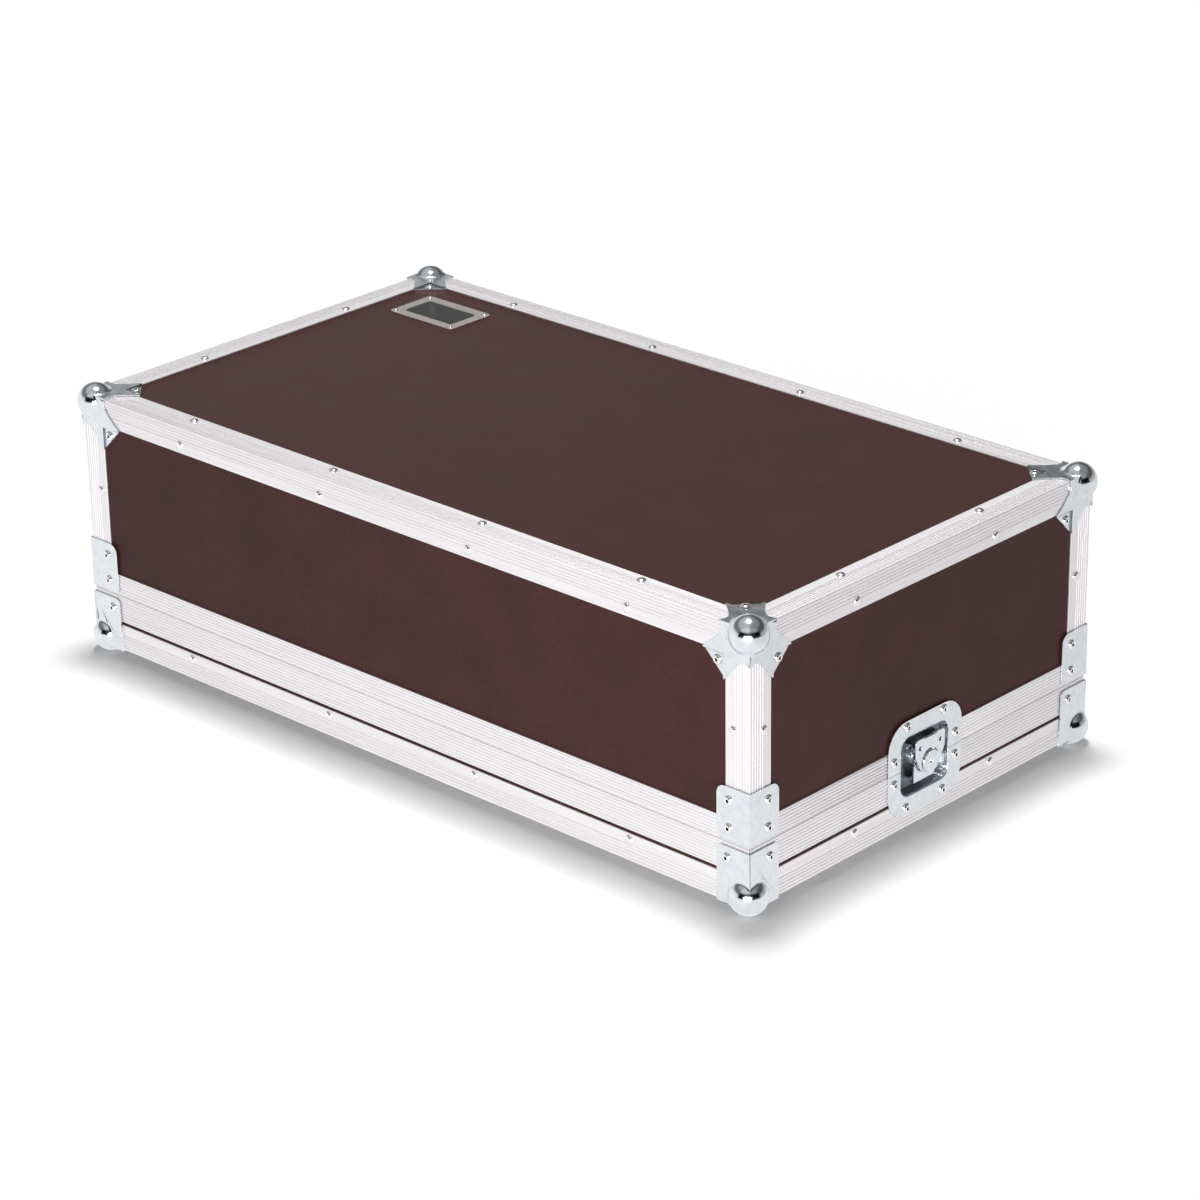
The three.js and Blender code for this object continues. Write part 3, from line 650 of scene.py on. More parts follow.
# Ball corners and braces, drawn from the corner of the aluminium. rise is 1 on the cover, whose
# corner has the case under it, and -1 on the tray.

def dome(rise):
    """The ball outside the aluminium, without the eighth that the corner fills."""
    deselect()
    bpy.ops.mesh.primitive_uv_sphere_add(
        segments=64, ring_count=32, radius=BALL_RADIUS / 1000,
        location=mm(BALL_INSET, BALL_INSET, -rise * BALL_INSET))
    ball = settle(bpy.context.object)
    bottom, top = (-FAR, GAP) if rise > 0 else (-GAP, FAR)
    return combine(ball, "DIFFERENCE", block((-GAP, -GAP, bottom), (FAR, FAR, top)))


def pressed_rims(rise):
    """The hollow rims round the dome's foot, one on each face of the corner."""
    level, hollow, inner, cover = BALL_INSET + BRACKET, 5, 13, 2
    across, up = math.sqrt((BALL_RADIUS + hollow) ** 2 - (level + hollow) ** 2), level + hollow
    meeting = -180 + math.degrees(math.atan2(up, across))
    rim = spun([(inner, level - 1), (across, level - 1), *arc((across, up), hollow, -90, meeting, 6),
                (inner, level + cover), (inner, level - 1)], 48)
    middle = Matrix.Translation(mm(BALL_INSET, BALL_INSET, -rise * BALL_INSET))
    low, high = (-FAR, BRACKET) if rise > 0 else (-BRACKET, FAR)
    kept = {
        "up" if rise > 0 else "down": block((-BRACKET, -BRACKET, -FAR), (FAR, FAR, FAR)),
        "out": block((-BRACKET, -FAR, low), (FAR, FAR, high)),
        "across": block((-FAR, -BRACKET, low), (FAR, FAR, high)),
    }
    rims = [combine(copied(rim, middle @ FACING[way]), "INTERSECT", room) for way, room in kept.items()]
    bpy.data.objects.remove(rim)
    return rims


def with_polished_dome(piece, rise):
    """A ball corner's finishes: plate, a brighter dome that hands and walls rub, and a darker, duller
    zinc along the folds where the tabs are cranked down, its darkness painted shade along the step."""
    middle = Vector((BALL_INSET, BALL_INSET, -rise * BALL_INSET))
    near = 0.35

    def choose(centre):
        if abs((centre - middle).length - BALL_RADIUS) < 0.3:
            return 1
        inward = [centre.x, centre.y, -rise * centre.z]
        # Faces at the crank's step take the darker zinc: painted shade along the fold.
        folded = any(
            abs(inward[i] - CRANK) < near and inward[j] > CRANK - 1
            and TAB_LEVEL < -inward[k] < BRACKET - near
            for i, j, k in itertools.permutations(range(3)))
        return 2 if folded else 0

    return coated(smooth(piece), zinc, polished_zinc, dull_zinc_painted_shade, choose=choose)


def bracket_face():
    """One face of the cover's corner bracket, in the plane, with its tab cranked to the panel. Its
    outline runs from the corner to a hollow and out to the tab's tip, the same on both sides."""
    far, edge, near = BRACKET_TIP - SHEET, -BRACKET, CRANK_INNER
    start, hollow = (BRACKET_REACH, edge), (HOLLOW_REACH, HOLLOW_SIDE)
    tip = (BRACKET_TIP, BRACKET_TIP_SIDE)
    scallop = [start, *curve_between(start, (HOLLOW_REACH, 2), hollow, 6),
               *curve_between(hollow, (HOLLOW_REACH + 0.8, 14), tip, 10)]
    outline = [(edge, edge), *scallop, (far, CRANK), (CRANK, CRANK), (CRANK, far),
               *[(y, x) for x, y in reversed(scallop)]]
    tab = [(near, near), (far, near), (far, CRANK), (CRANK, far), (near, far)]
    step = [(near, near), (far, near), (far, CRANK), (CRANK, CRANK), (CRANK, far), (near, far)]
    plate = prism([(x, y, GAP) for x, y in outline], (0, 0, SHEET))
    crank = prism([(x, y, TAB_LEVEL) for x, y in step], (0, 0, BRACKET - TAB_LEVEL))
    foot = prism([(x, y, TAB_LEVEL) for x, y in tab], (0, 0, SHEET))
    return combine(plate, "UNION", crank, foot)


def cover_corner():
    """The top's face of the bracket, turned onto the front and the side too, with the dome."""
    top = bracket_face()
    front = copied(top, Matrix(((0, 1, 0, 0), (0, 0, -1, 0), (-1, 0, 0, 0), (0, 0, 0, 1))))
    side = copied(top, Matrix(((0, 0, -1, 0), (1, 0, 0, 0), (0, -1, 0, 0), (0, 0, 0, 1))))
    combine(top, "UNION", front, side, dome(1), *pressed_rims(1))
    return with_polished_dome(round_edges(top, SHEET_ROUND), 1)


def folded_plate(outline):
    """Two plates at right angles round an upright corner, from one outline of (across, up)."""
    front = prism([(x, -BRACKET, z) for x, z in outline], (0, SHEET, 0))
    side = prism([(-BRACKET, x, z) for x, z in outline], (SHEET, 0, 0))
    return combine(front, "UNION", side)


def plate_outline(foot, top, lower, upper):
    """Half of a folded plate: a rectangle from the fold, with its two outer corners rounded."""
    width, points = FOLDED_WIDTH, [(-BRACKET, foot)]
    points += arc((width - lower, foot + lower), lower, -90, 0, 6) if lower else [(width, foot)]
    points += arc((width - upper, top - upper), upper, 0, 90, 8)
    return points + [(-BRACKET, top)]


def tray_corner():
    width, top, upper_round, sole_end = FOLDED_WIDTH, 59.4, 6, 10
    walls = folded_plate(plate_outline(-BRACKET, top, 0, upper_round))
    sole = prism([(x, y, -BRACKET) for x, y in (
        (-BRACKET, -BRACKET), (width, -BRACKET), (width, sole_end), (sole_end, width),
        (-BRACKET, width))], (0, 0, SHEET))
    combine(walls, "UNION", sole, dome(-1), *pressed_rims(-1))
    return with_polished_dome(round_edges(walls, SHEET_ROUND), -1)


def brace():
    foot, height, lower_round, upper_round = PARTING + 3, 55.5, 5, 10
    plate = folded_plate(plate_outline(foot, foot + height, lower_round, upper_round))
    return smooth(coated(round_edges(plate, SHEET_ROUND), zinc))


def build_corners():
    kinds = [
        ("cover_ball_cap", "cover_ball_corner", "cover", HEIGHT, cover_corner()),
        ("tray_ball_cap", "tray_ball_corner", "tray", 0, tray_corner()),
        ("cover_corner_brace", "cover_brace", "cover", 0, brace()),
    ]
    for kind, node, body, height, model in kinds:
        spots = {corner: at_corner(corner, height) for corner in CORNERS}
        place_copies(model, spots, kind, node, body)


# Rivets


def solid_rivet():
    """A low dome with a steep rim."""
    profile = [
        (0, 2.4), (1.4, 2.35), (2.8, 2.1), (3.9, 1.6), (4.7, 0.9), (5, 0.2), (4.8, -0.2), (0, -0.2)]
    return coated(smooth(spun(profile, 28), 60), nickel)


def hollow_rivet():
    """A dome with a round hole, as a tubular rivet leaves. The hole's faces take a dark finish: painted
    shade for a hole deeper than the one drawn.
    """
    profile = [
        (0, 0), (1.4, 0.1), (1.6, 1.9), (1.9, 2.3), (2.3, 2.4), (3.7, 2.1), (4.7, 1.4), (5.2, 0.6),
        (5.2, 0), (4.9, -0.2), (0, -0.2)]
    hole = 1.52
    # Faces inside the hole take the dark bore finish, painted shade.
    return coated(smooth(spun(profile, 28), 60), nickel, bore,
                  choose=lambda centre: int(math.hypot(centre.x, centre.y) < hole))


def rivet_row(name, body, model, spot, rivets):
    """Copies of one rivet as one piece, at (way it faces, place) pairs in a spot's frame."""
    dress(united([copied(model, spot @ Matrix.Translation(mm(*place)) @ FACING[facing])
                  for facing, place in rivets]), name, body)


def on_both_faces(level, across, height):
    """The same rivet on both faces of an upright corner."""
    return [("out", (across, level, height)), ("across", (level, across, height))]


def build_edging_rivets(rivet):
    inset, low = 21, 23
    for side in SIDES:
        row = (-315, -105, 105, 315) if side in ("front", "back") else (-105, 105)
        cover = [("out", (x, 0, HEIGHT - inset)) for x in row] + [("up", (x, inset, HEIGHT)) for x in row]
        tray = [("out", (x, 0, low)) for x in row] + [("down", (x, inset, 0)) for x in row]
        rivet_row(f"cover_edging_rivets_{side}", "cover", rivet, at_side(side), cover)
        rivet_row(f"tray_edging_rivets_{side}", "tray", rivet, at_side(side), tray)


def build_corner_rivets(solid, hollow):
    tab_inset, tab_depth = 40, -TAB_LEVEL - SHEET
    brace_inset, brace_heights = 25, (108, 79)
    tray_inset, tray_height = 27.5, 47.5
    upright_inset, upright_height = 20, 181
    cover = [("up", (tab_inset, tab_inset, HEIGHT - tab_depth))]
    cover += on_both_faces(tab_depth, tab_inset, HEIGHT - tab_inset)
    for height in brace_heights:
        cover += on_both_faces(-BRACKET, brace_inset, height)
    tray = on_both_faces(-BRACKET, tray_inset, tray_height)
    upright = on_both_faces(0, upright_inset, upright_height)
    for corner in CORNERS:
        spot = at_corner(corner)
        rivet_row(f"cover_corner_rivets_{corner}", "cover", hollow, spot, cover)
        rivet_row(f"tray_corner_rivets_{corner}", "tray", hollow, spot, tray)
        rivet_row(f"cover_upright_rivets_{corner}", "cover", solid, spot, upright)


def build_latch_rivets(rivet):
    level = -GAP - DISH_WALL
    places = [(-28, 43.5), (28, 43.5), (-47, 12), (47, 12)]
    upper = [("out", (x, level, z)) for x, z in places]
    lower = [("out", (x, level, -z)) for x, z in places]
    for side in ("right", "left"):
        spot = at_side(side, LATCH_HEIGHT)
        rivet_row(f"latch_upper_rivets_{side}", "cover", rivet, spot, upper)
        rivet_row(f"latch_lower_rivets_{side}", "tray", rivet, spot, lower)


def build_rivets():
    solid, hollow = solid_rivet(), hollow_rivet()
    build_edging_rivets(solid)
    build_corner_rivets(solid, hollow)
    build_latch_rivets(hollow)
    bpy.data.objects.remove(solid)
    bpy.data.objects.remove(hollow)


# Dishes of the latches and the handle


def dish_rim(plate, mouth, level):
    """A pressed plate's outer edge and its opening's edge, bridged into one flat rim. Stays in
    edit mode."""
    loops = []
    for width, height, radius in (plate, mouth):
        loop = drawn_line([(x, -level, z) for x, z in rounded_rectangle(width, height, radius)])
        select_where(loop, "verts", lambda vertex: len(vertex.link_edges) == 1)
        bpy.ops.mesh.edge_face_add()
        loops.append(settle(loop))
    rim = united(loops)
    edit(rim)
    bpy.ops.mesh.select_all(action="SELECT")
    bpy.ops.mesh.bridge_edge_loops()
    return rim


def pressed_dish(plate, mouth, level, floor):
    """A sheet with a rolled edge round a tapering pocket: the rim first, then the pocket drawn
    down from it loop by loop, and the thickness last."""
    width, height, radius = mouth
    roll = 1.6
    rim = dish_rim(plate, (width + 2 * roll, height + 2 * roll, radius + roll), level)
    across, up = width / 2 + roll, height / 2 + roll
    limit = mm(across + 0.5, 0, up + 0.5)
    select_where(rim, "edges", lambda edge: edge.is_boundary and all(
        abs(v.co.x) < limit.x and abs(v.co.z) < limit.z for v in edge.verts))
    depth = level + floor
    turns = [QUARTER * share for share in (0.25, 0.5, 0.75, 1)]
    # Each step is a drop and how far the loop has drawn in: round the roll, down, round the foot
    steps = [(roll * (1 - math.cos(turn)), roll * math.sin(turn)) for turn in turns]
    steps += [(depth - 2, roll + 2), (depth - 1.2, roll + 2.4), (depth - 0.4, roll + 3.2),
              (depth, roll + 4.4)]
    sunk, narrowed = 0, 0
    for drop, inward in steps:
        bpy.ops.mesh.extrude_edges_move(TRANSFORM_OT_translate={"value": mm(0, drop - sunk, 0)})
        bpy.ops.transform.resize(value=(
            (across - inward) / (across - narrowed), 1, (up - inward) / (up - narrowed)),
            center_override=mm(0, drop - level, 0))
        sunk, narrowed = drop, inward
    bpy.ops.mesh.edge_face_add()
    face_outwards()
    shape = bmesh.from_edit_mesh(rim.data)
    if max(shape.faces, key=lambda face: face.calc_area()).normal.y > 0:
        bpy.ops.mesh.flip_normals()
    settle(rim)
    return apply_modifier(rim, "SOLIDIFY", thickness=DISH_WALL / 1000, offset=-1)


# Latch


def kept_between(piece, low, high):
    """What of a piece lies between two heights."""
    return combine(piece, "INTERSECT", block((-200, -FAR, low), (200, FAR, high)))


def latch_dishes():
    """One dish parted in two at the parting line, with the keeper's shelf in its lower half."""
    upper_foot, lower_top, reach = -1.2, -1.5, 80
    half, front, foot, top = 16, 5.8, -18, -16.6
    whole = pressed_dish(LATCH_PLATE, LATCH_MOUTH, GAP + DISH_WALL, LATCH_FLOOR)
    lower = copied(whole, Matrix.Identity(4))
    upper = round_edges(kept_between(whole, upper_foot, reach), DISH_ROUND)
    lower = kept_between(lower, -reach, lower_top)
    combine(lower, "UNION", block((-half, front, foot), (half, LATCH_FLOOR + 0.5, top)))
    return upper, round_edges(lower, DISH_ROUND)


def latch_carrier():
    """The plate riveted to the upper dish's floor, with the drum the cam turns in and two ears."""
    half, foot, top, front, back = 25, -14.5, 25, 8.9, 10.3
    drum_radius, spindle_bore, pin_bore, wall = 12, 5.3, 1.8, 1.6
    plate = block((-half, front, foot), (half, back, top))
    seat = block((-half, front - 0.3, -1.2), (half, 11.1, top))
    drum = rod(drum_radius, (0, (back - 0.2) / 2, 0), back + 0.2, "Y", 48)
    ears = [block((x, 0, 13), (x + wall, back, 23)) for x in (-23.6, 22)]
    combine(plate, "UNION", seat, drum, *ears)
    combine(plate, "DIFFERENCE", rod(spindle_bore, (0, 1.4, 0), 15, "Y", 32),
            rod(pin_bore, (0, HOOK_PIN_DEPTH, HOOK_PIN_HEIGHT), 100, "X", 20))
    return round_edges(plate, 0.2)


def latch_hook():
    """The swinging plate: its lip and flanges are bent back, and it turns on two trunnions."""
    half, tip, level, wall, top, foot, neck, bend = 20.5, 16, 0.2, 1.6, 22, -21.6, 8, 2
    lip_depth, flange_depth, flange_foot, flange_top = 4.6, 7.5, 10, 20
    pin_radius, pin_length, pin_middle, boss_hole = 1.5, 5.5, 21.65, 13.5
    right = arc((half - bend, top - bend), bend, 90, 0, 4)
    right += arc((half - bend, neck + bend), bend, 0, -90, 4)
    right += arc((tip + bend, neck - bend), bend, 90, 180, 4) + [(tip, foot + 0.2)]
    outline = right + [(-x, z) for x, z in reversed(right)]
    plate = prism([(x, wall - level, z) for x, z in outline], (0, -wall, 0))
    lip = block((-tip, -level, foot), (tip, lip_depth, foot + wall))
    flanges = [block((x, -level, flange_foot), (x + wall, flange_depth, flange_top))
               for x in (-half, half - wall)]
    trunnions = [rod(pin_radius, (x, HOOK_PIN_DEPTH, HOOK_PIN_HEIGHT), pin_length, "X", 20)
                 for x in (-pin_middle, pin_middle)]
    combine(plate, "UNION", lip, *flanges, *trunnions)
    combine(plate, "DIFFERENCE", rod(boss_hole, (0, 0, 0), 12, "Y", 48))
    return smooth(round_edges(plate, 0.3))


def latch_cam():
    """Spindle, skirt and boss turned in one, with the pin across it that carries the wing."""
    profile = [
        (0, 8), (1.8, 8), (2.4, 8.4), (2.4, 9.5), (2.9, 9.8), (10.8, 9.8), (11.6, 9.4), (12, 8.6),
        (12, 2.2), (12.1, 2), (12.3, 2), (12.5, 1.8), (12.5, 0.5), (5, 0.5), (5, -8.6), (0, -8.6)]
    body = moved(spun(profile, 64), FACING["out"])
    pin = rod(1.25, (0, -WING_PIN_LEVEL, WING_PIN_HEIGHT), 2 * WING_LEG + 2, "X", 24)
    return smooth(combine(body, "UNION", round_edges(pin, 0.3)))


def wing_outline():
    """The shield: its top dips where the thumb lies, and its shoulders run down to two legs with
    the boss's round notch between them."""
    half, top, shoulder, corner, thumb, dip, soft, bend = 22.5, 28, 9, 4, 8.5, 2, 0.6, 3
    foot = WING_PIN_HEIGHT - WING_LUG
    right = [(thumb, top - dip + soft), (thumb, top - soft), (thumb + soft, top)]
    right += arc((half - corner, top - corner), corner, 90, 0, 7)
    right += arc((half - bend, shoulder + 1.5), bend, 0, -30, 3)
    right += [(WING_LEG, foot + 1), (WING_LEG - soft, foot), (WING_NOTCH, foot)]
    left = [(-x, z) for x, z in reversed(right)]
    return right + arc((0, 1), WING_NOTCH, 0, 180, 28) + left


def latch_wing():
    """The shield with its two holes, a lug on each leg that the pin passes, and its rolled lip."""
    level, wall, hole, hole_inset, hole_height = 6.2, 1.4, 2.2, 15.4, 18
    lug_wall, pin_bore, lip_radius, lip_length, lip_height = 1.6, 1.5, 1.6, 18, 26.4
    back = -level - wall / 2
    plate = prism([(x, -level, z) for x, z in wing_outline()], (0, -wall, 0))
    for x in (-hole_inset, hole_inset):
        combine(plate, "DIFFERENCE", rod(hole, (x, -level, hole_height), 12, "Y", 24))
    round_edges(plate, 0.4, 3)
    for x in (-WING_LEG, WING_LEG - lug_wall):
        lug = rod(WING_LUG, (x + lug_wall / 2, -WING_PIN_LEVEL, WING_PIN_HEIGHT), lug_wall, "X", 28)
        stem = block((x, back, WING_PIN_HEIGHT - WING_LUG),
                     (x + lug_wall, -WING_PIN_LEVEL, WING_PIN_HEIGHT + WING_LUG))
        combine(plate, "UNION", combine(lug, "UNION", stem))
    combine(plate, "DIFFERENCE", rod(pin_bore, (0, -WING_PIN_LEVEL, WING_PIN_HEIGHT), 60, "X", 20))
    lip = rod(lip_radius, (0, back, lip_height), lip_length, "X", 20)
    edit(lip)
    select_where(lip, "faces", lambda face: abs(face.normal.x) > 0.9)
    bpy.ops.mesh.inset(thickness=0.0005)
    bpy.ops.transform.resize(value=(1.03, 1, 1))
    combine(plate, "UNION", settle(lip))
    return smooth(plate)


def build_latches():
    painted_shade_depth = 6
    upper, lower = latch_dishes()
    combine(upper, "UNION", latch_carrier())
    for dish in (upper, lower):
        # Faces more than 6 mm deep in the dish take the darker, duller zinc: painted shade inside the
        # recess.
        coated(smooth(dish), zinc, dull_zinc_painted_shade, choose=lambda centre: int(centre.y > painted_shade_depth))
    kinds = [
        ("latch_dish_upper", "latch_upper_dish", "cover", upper),
        ("latch_dish_lower", "latch_lower_dish", "tray", lower),
        ("latch_thumb_wing", "latch_wing", "{}_wing", coated(latch_wing(), polished_zinc)),
        ("latch_turning_cam", "latch_cam", "{}_cam", coated(latch_cam(), polished_zinc)),
        ("latch_hook_plate", "latch_hook", "{}_hook", coated(latch_hook(), polished_zinc)),
    ]
    spots = {side: at_side(side, LATCH_HEIGHT) for side in ("right", "left")}
    for kind, node, body, model in kinds:
        place_copies(model, spots, kind, node, body)


# Handle


def handle_dish():
    """The pressed dish with the two ears that hold the bail's ends."""
    wall, front, foot, top, pin_bore = 3, -2.4, 17.7, 30.3, 4.3
    dish = pressed_dish(HANDLE_PLATE, HANDLE_MOUTH, TAB_LEVEL + DISH_WALL, HANDLE_FLOOR)
    round_edges(dish, DISH_ROUND)
    for x in (-60, 57):
        ear = block((x, front, foot), (x + wall, HANDLE_FLOOR + 0.5, top))
        combine(ear, "DIFFERENCE", rod(pin_bore, (0, BAIL_DEPTH, BAIL_PIN_HEIGHT), 200, "X", 32))
        combine(dish, "UNION", round_edges(ear, 0.5))
    return smooth(dish)


def handle_bail():
    """A line along the rod, its corners bevelled, turned to a curve that gives it its thickness."""
    outer, arm, high, low = 61.5, 47, BAIL_PIN_HEIGHT, BAIL_FOOT
    path = [(-outer, high), (-arm, high), (-arm, low), (arm, low), (arm, high), (outer, high)]
    bail = drawn_line([(x, BAIL_DEPTH, z) for x, z in path])
    select_where(bail, "verts", lambda vertex: len(vertex.link_edges) == 2)
    bpy.ops.mesh.bevel(affect="VERTICES", offset=0.009, segments=10)
    settle(bail)
    bpy.ops.object.convert(target="CURVE")
    bail.data.bevel_depth = 0.004
    bail.data.bevel_resolution = 6
    bail.data.use_fill_caps = True
    pick(bail)
    bpy.ops.object.convert(target="MESH")
    return smooth(settle(bpy.context.object), 50)


def handle_grip():
    """A rubber sleeve with round ribs, turned round the rod's lower run."""
    half, inner, end, ribs, margin = 36, 4.3, 6.6, 9, 3
    pitch = (2 * half - 2 * margin) / ribs
    profile = [(inner, -half), (end, -half), (end + 0.8, -half + 0.6)]
    for i in range(ribs):
        start = -half + margin + i * pitch
        profile += [(7, start), (7.7, start + pitch * 0.2), (8, start + pitch * 0.5),
                    (7.7, start + pitch * 0.8)]
    profile += [(7, half - margin), (end + 0.8, half - 0.6), (end, half), (inner, half), (inner, -half)]
    sleeve = moved(spun(profile, 40), Matrix.Rotation(QUARTER, 4, "Y"))
    return smooth(moved(sleeve, Matrix.Translation(mm(0, BAIL_DEPTH, BAIL_FOOT))), 50)


def build_handle():
    spot, level = at_side("back", HANDLE_HEIGHT), -TAB_LEVEL - DISH_WALL
    dish = coated(moved(handle_dish(), spot), zinc)
    bail = coated(moved(handle_bail(), spot), polished_zinc)
    grip = coated(moved(handle_grip(), spot), rubber)
    dress(dish, "handle_recess_dish", "cover", "handle_dish")
    dress(bail, "handle_wire_bail", "handle", "handle_bail")
    dress(grip, "handle_rubber_grip", "handle")
    rivet = hollow_rivet()
    places = [(x, z) for x in (-52, 0, 52) for z in (-47.5, 47.5)]
    places += [(x, z) for x in (-77, 77) for z in (-22, 22)]
    rivet_row("handle_rivets", "cover", rivet, spot, [("out", (x, level, z)) for x, z in places])
    bpy.data.objects.remove(rivet)


# Name plate, left bare


def build_name_plate():
    """A plate near the far left corner of the top, with an enamelled field and no lettering."""
    thickness, recess_depth, edge_round, rivet_x, rivet_y = 0.9, 0.4, 0.15, 43, 26.5
    spot = Matrix.Translation(mm(-361, 168, STAND + HEIGHT - PANEL_INSET))

    def slab(size, foot, top):
        return prism([(x, y, foot) for x, y in rounded_rectangle(*size)], (0, 0, top - foot))

    recess = slab((75, 42, 2.5), thickness - recess_depth, 1.5)
    frame_plate = combine(slab((97, 64, 5), 0, thickness), "DIFFERENCE", recess)
    for plate, finish, name in ((frame_plate, etched, "name_plate_frame"),
                                (slab((72, 39, 3), 0.45, 0.8), enamel, "name_plate_field")):
        plate = moved(smooth(round_edges(plate, edge_round)), spot)
        dress(coated(plate, finish), name, "cover")
    rivet = coated(smooth(spun([(0, 1.5), (0.9, 1.4), (1.8, 0.9), (2.4, 0), (0, 0)], 20), 60), nickel)
    rivets = [("up", (x, y, thickness)) for x in (-rivet_x, rivet_x) for y in (-rivet_y, rivet_y)]
    rivet_row("name_plate_rivets", "cover", rivet, spot, rivets)
    bpy.data.objects.remove(rivet)


# Linings


def build_carpet():
    low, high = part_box("tray_carpet")
    pile = block(low * 1000, high * 1000)
    edit(pile)
    select_where(pile, "edges", lambda edge: min(v.co.z for v in edge.verts) > high.z - 0.001)
    bpy.ops.mesh.bevel(offset=0.002, segments=3)
    settle(pile)
    coated(smooth(pile, 50), carpet)
    dress(pile, "tray_loop_carpet", "tray", "tray_carpet")


def build_foam():
    """A foam sheet cut in soft peaks and hollows on its underside, glued under the top panel."""
    low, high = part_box("cover_foam")
    pitch, depth, steps = 50 / 1000, 8 / 1000, 8
    size, middle = high - low, (low + high) / 2
    deselect()
    bpy.ops.mesh.primitive_grid_add(
        x_subdivisions=round(size.x / pitch) * steps, y_subdivisions=round(size.y / pitch) * steps,
        size=1, location=(middle.x, middle.y, low.z))
    bpy.ops.transform.resize(value=(size.x, size.y, 1))
    pad = settle(bpy.context.object)
    for vertex in pad.data.vertices:
        x, y = (2 * math.pi * (vertex.co[i] - low[i]) / pitch for i in (0, 1))
        vertex.co.z += depth * (1 + math.sin(x) * math.sin(y)) / 2
    edit(pad)
    bpy.ops.mesh.extrude_region_move(TRANSFORM_OT_translate={"value": (0, 0, size.z)})
    bpy.ops.transform.resize(value=(1, 1, 0), center_override=(0, 0, high.z))
    face_outwards()
    coated(smooth(settle(pad), 60), foam)
    dress(pad, "cover_foam_pad", "cover", "cover_foam")


build_edging()
build_upright_edging()
build_corners()
build_rivets()
build_latches()
build_handle()
build_name_plate()
build_carpet()
build_foam()

for name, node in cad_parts.items():
    if name.endswith("_panel"):
        coated(node, plywood)

# Camera, lights and floor

CAMERA_PLACE = (2648.39, -2756.57, 1776.22 + STAND)
AZIMUTH, ELEVATION, ROLL = (math.radians(angle) for angle in (43.46, 23.71, -0.88))
# Level ways from the case: to the camera's right, and towards the camera
RIGHTWARDS = Vector((math.cos(AZIMUTH), math.sin(AZIMUTH), 0))
FORWARDS = Vector((math.sin(AZIMUTH), -math.cos(AZIMUTH), 0))
# Greys of the room, and greys and edges of the dark wall in it, by the height of a view: 0 is
# level and 1 is straight up. The wall's sides go by how far a view turns to the camera.
ROOM = [(0.0, "#ffffff"), (0.22, "#f2f2f2"), (0.36, "#7c7c7c"), (0.6, "#7c7c7c"), (0.75, "#c0c0c0")]
WALL_GREYS = [(0.46, "#060606"), (0.6, "#e0e0e0")]
WALL_HEIGHTS = [(0.0, "#000000"), (0.05, "#ffffff"), (0.8, "#ffffff"), (0.95, "#000000")]
WALL_SIDES = [(0.3, "#000000"), (0.5, "#ffffff")]
# The share of the room's light that lights a thing by way of a matt surface
DIFFUSE_SHARE = 0.3
# The floor's own light in the picture, and how white it is where metal mirrors it
FLOOR_GLOW = 0.1
FLOOR_MIRRORED = 0.9


def build_camera():
    back = Vector((math.sin(AZIMUTH) * math.cos(ELEVATION), -math.cos(AZIMUTH) * math.cos(ELEVATION),
                   math.sin(ELEVATION)))
    up = back.cross(RIGHTWARDS)
    side = math.cos(ROLL) * RIGHTWARDS + math.sin(ROLL) * up
    above = math.cos(ROLL) * up - math.sin(ROLL) * RIGHTWARDS
    lens = bpy.data.cameras.new("camera")
    lens.sensor_width = 36
    lens.lens = 119.7
    lens.clip_end = 50
    camera = bpy.data.objects.new("camera", lens)
    camera.matrix_world = Matrix.Translation(mm(*CAMERA_PLACE)) @ Matrix(
        (side, above, back)).transposed().to_4x4()
    bpy.context.scene.collection.objects.link(camera)
    bpy.context.scene.camera = camera


def add_softbox(name, place, width, height, power):
    """A large soft lamp that looks at the middle of the case."""
    lamp = bpy.data.lights.new(name, "AREA")
    lamp.shape = "RECTANGLE"
    lamp.size, lamp.size_y = width, height
    lamp.energy = power
    light = bpy.data.objects.new(name, lamp)
    light.location = place
    light.rotation_euler = (Vector((0, 0, 0.15)) - Vector(place)).to_track_quat("-Z", "Y").to_euler()
    bpy.context.scene.collection.objects.link(light)


def build_world():
    """A room that is white low down and grey overhead, with a dark wall behind the camera, and
    half as strong to the right."""
    world = bpy.data.worlds.new("studio")
    world.use_nodes = True
    bpy.context.scene.world = world
    tree = world.node_tree
    tree.nodes.clear()
    way = add_node(tree, "TexCoord").outputs["Generated"]
    height = add_node(tree, "SeparateXYZ", {"Vector": way}).outputs["Z"]
    facing, across = (
        add_node(tree, "VectorMath", {0: way, 1: there}, operation="DOT_PRODUCT").outputs["Value"]
        for there in (FORWARDS, RIGHTWARDS))
    room, wall, level = (add_node(tree, "ValToRGB", {"Fac": height}, stops)
                         for stops in (ROOM, WALL_GREYS, WALL_HEIGHTS))
    broad = add_node(tree, "ValToRGB", {"Fac": facing}, WALL_SIDES)
    within = add_node(tree, "MixRGB", {0: 1, 1: level, 2: broad}, blend_type="MULTIPLY")
    shade = add_node(tree, "MixRGB", {0: within, 1: room, 2: wall})
    dim = add_node(tree, "MapRange", {
        "Value": across, "From Min": -0.02, "From Max": 0.16, "To Min": 1, "To Max": 0.5})
    bounces = add_node(tree, "LightPath").outputs["Diffuse Depth"]
    share = add_node(tree, "MapRange", {"Value": bounces, "To Min": 1, "To Max": DIFFUSE_SHARE})
    strength = add_node(tree, "Math", {0: share, 1: dim}, operation="MULTIPLY")
    lit = add_node(tree, "Background", {"Color": shade, "Strength": strength})
    add_node(tree, "OutputWorld", {"Surface": lit})


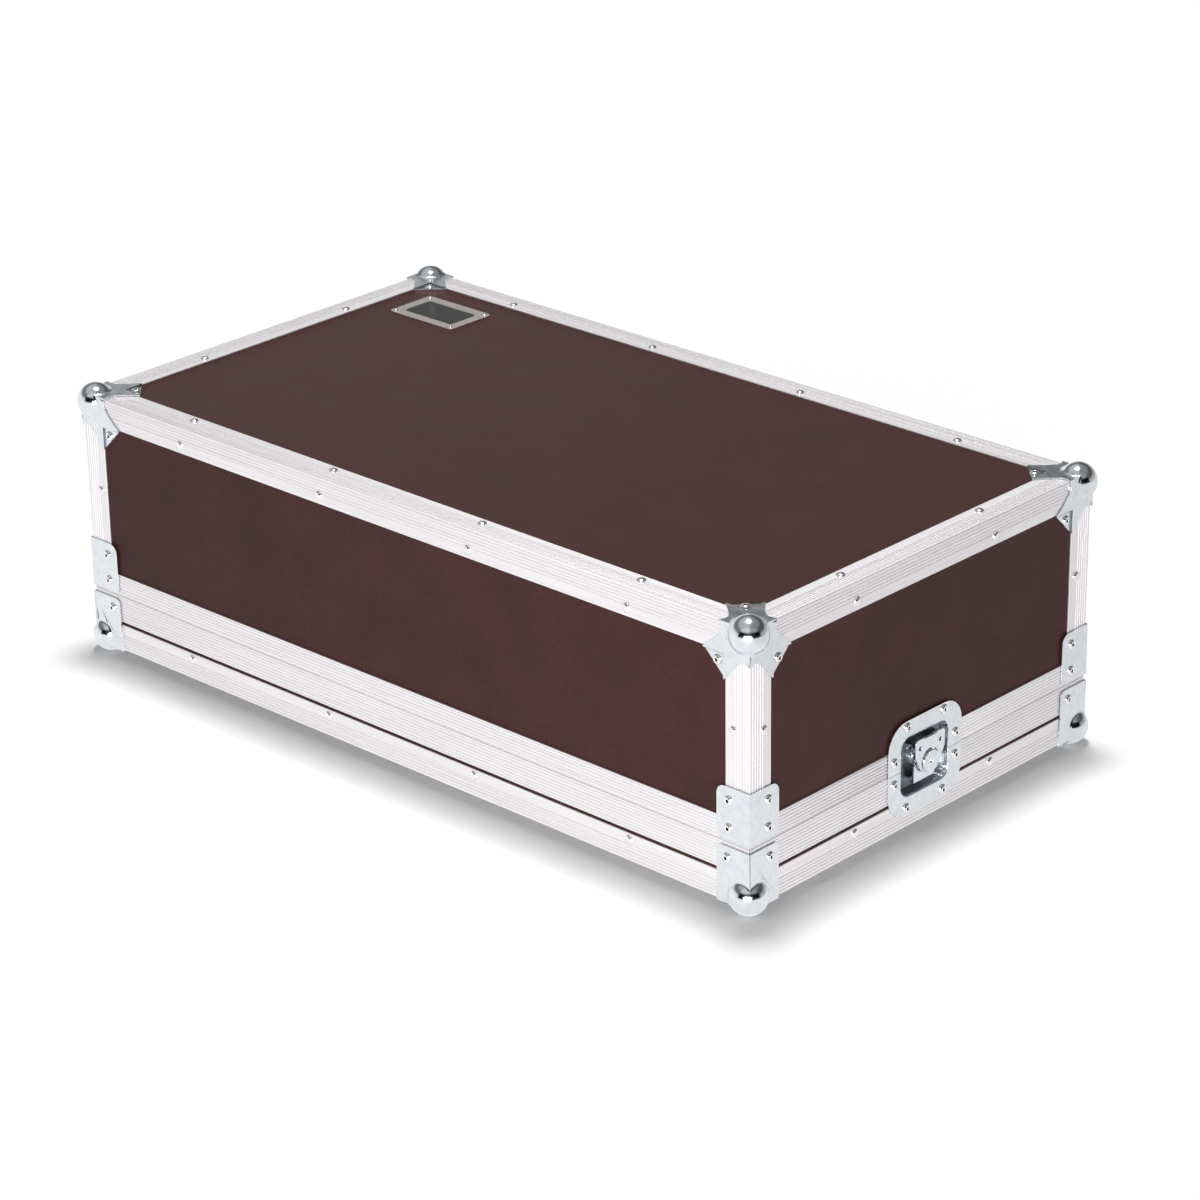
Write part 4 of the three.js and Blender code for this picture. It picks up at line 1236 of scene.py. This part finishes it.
def build_floor():
    """A pale floor that keeps the shadow round the case and is plain white further out. Metal
    mirrors it as white too, a little weaker towards the camera's right."""
    deselect()
    bpy.ops.mesh.primitive_plane_add(size=60, location=(0, 0, 0))
    floor = bpy.context.object
    floor.name = "studio_floor"
    white = linear("#ffffff")
    material, tree, place = new_material(
        "studio_floor", Roughness=1, Specular_IOR_Level=0, Base_Color=linear("#fafafa"),
        Emission_Color=white)
    pale = tree.nodes["Principled BSDF"]
    path = add_node(tree, "LightPath").outputs
    seen = path["Is Camera Ray"]
    glow = add_node(tree, "Math", {0: seen, 1: FLOOR_GLOW}, operation="MULTIPLY")
    tree.links.new(glow.outputs[0], pale.inputs["Emission Strength"])
    mirrored = add_node(tree, "Math", {
        0: path["Is Glossy Ray"], 1: path["Is Transmission Ray"]}, operation="MAXIMUM")
    direct = add_node(tree, "MapRange", {
        "Value": path["Diffuse Depth"], "To Min": FLOOR_MIRRORED, "To Max": 0})
    in_metal = add_node(tree, "Math", {0: mirrored, 1: direct}, operation="MULTIPLY")
    away = add_node(tree, "VectorMath", {0: place}, operation="LENGTH").outputs["Value"]
    outer = add_node(tree, "MapRange", {"Value": away, "From Min": 0.7, "From Max": 1.1})
    backdrop = add_node(tree, "Math", {0: outer, 1: seen}, operation="MULTIPLY")
    replaced = add_node(tree, "Math", {0: in_metal, 1: backdrop}, operation="MAXIMUM")
    along = add_node(tree, "VectorMath", {0: place, 1: (1, 1, 0)}, operation="DOT_PRODUCT")
    fading = add_node(tree, "MapRange", {
        "Value": along.outputs["Value"], "From Min": 0.1, "From Max": 1, "To Min": 1.06, "To Max": 0.84})
    strength = add_node(tree, "Math", {0: fading, 1: seen}, operation="MAXIMUM")
    plain = add_node(tree, "Emission", {"Color": white, "Strength": strength})
    mixed = add_node(tree, "MixShader", {0: replaced, 1: pale, 2: plain})
    tree.links.new(mixed.outputs[0], tree.nodes["Material Output"].inputs["Surface"])
    floor.data.materials.append(material)


build_camera()
build_world()
build_floor()
add_softbox("overhead_softbox", place=(-0.3, 0.46, 5.6), width=1.2, height=1.2, power=262)
add_softbox("front_softbox", place=(1.9, -2.4, 0.45), width=1.9, height=0.7, power=60)

scene = bpy.context.scene
scene.view_settings.view_transform = "Standard"
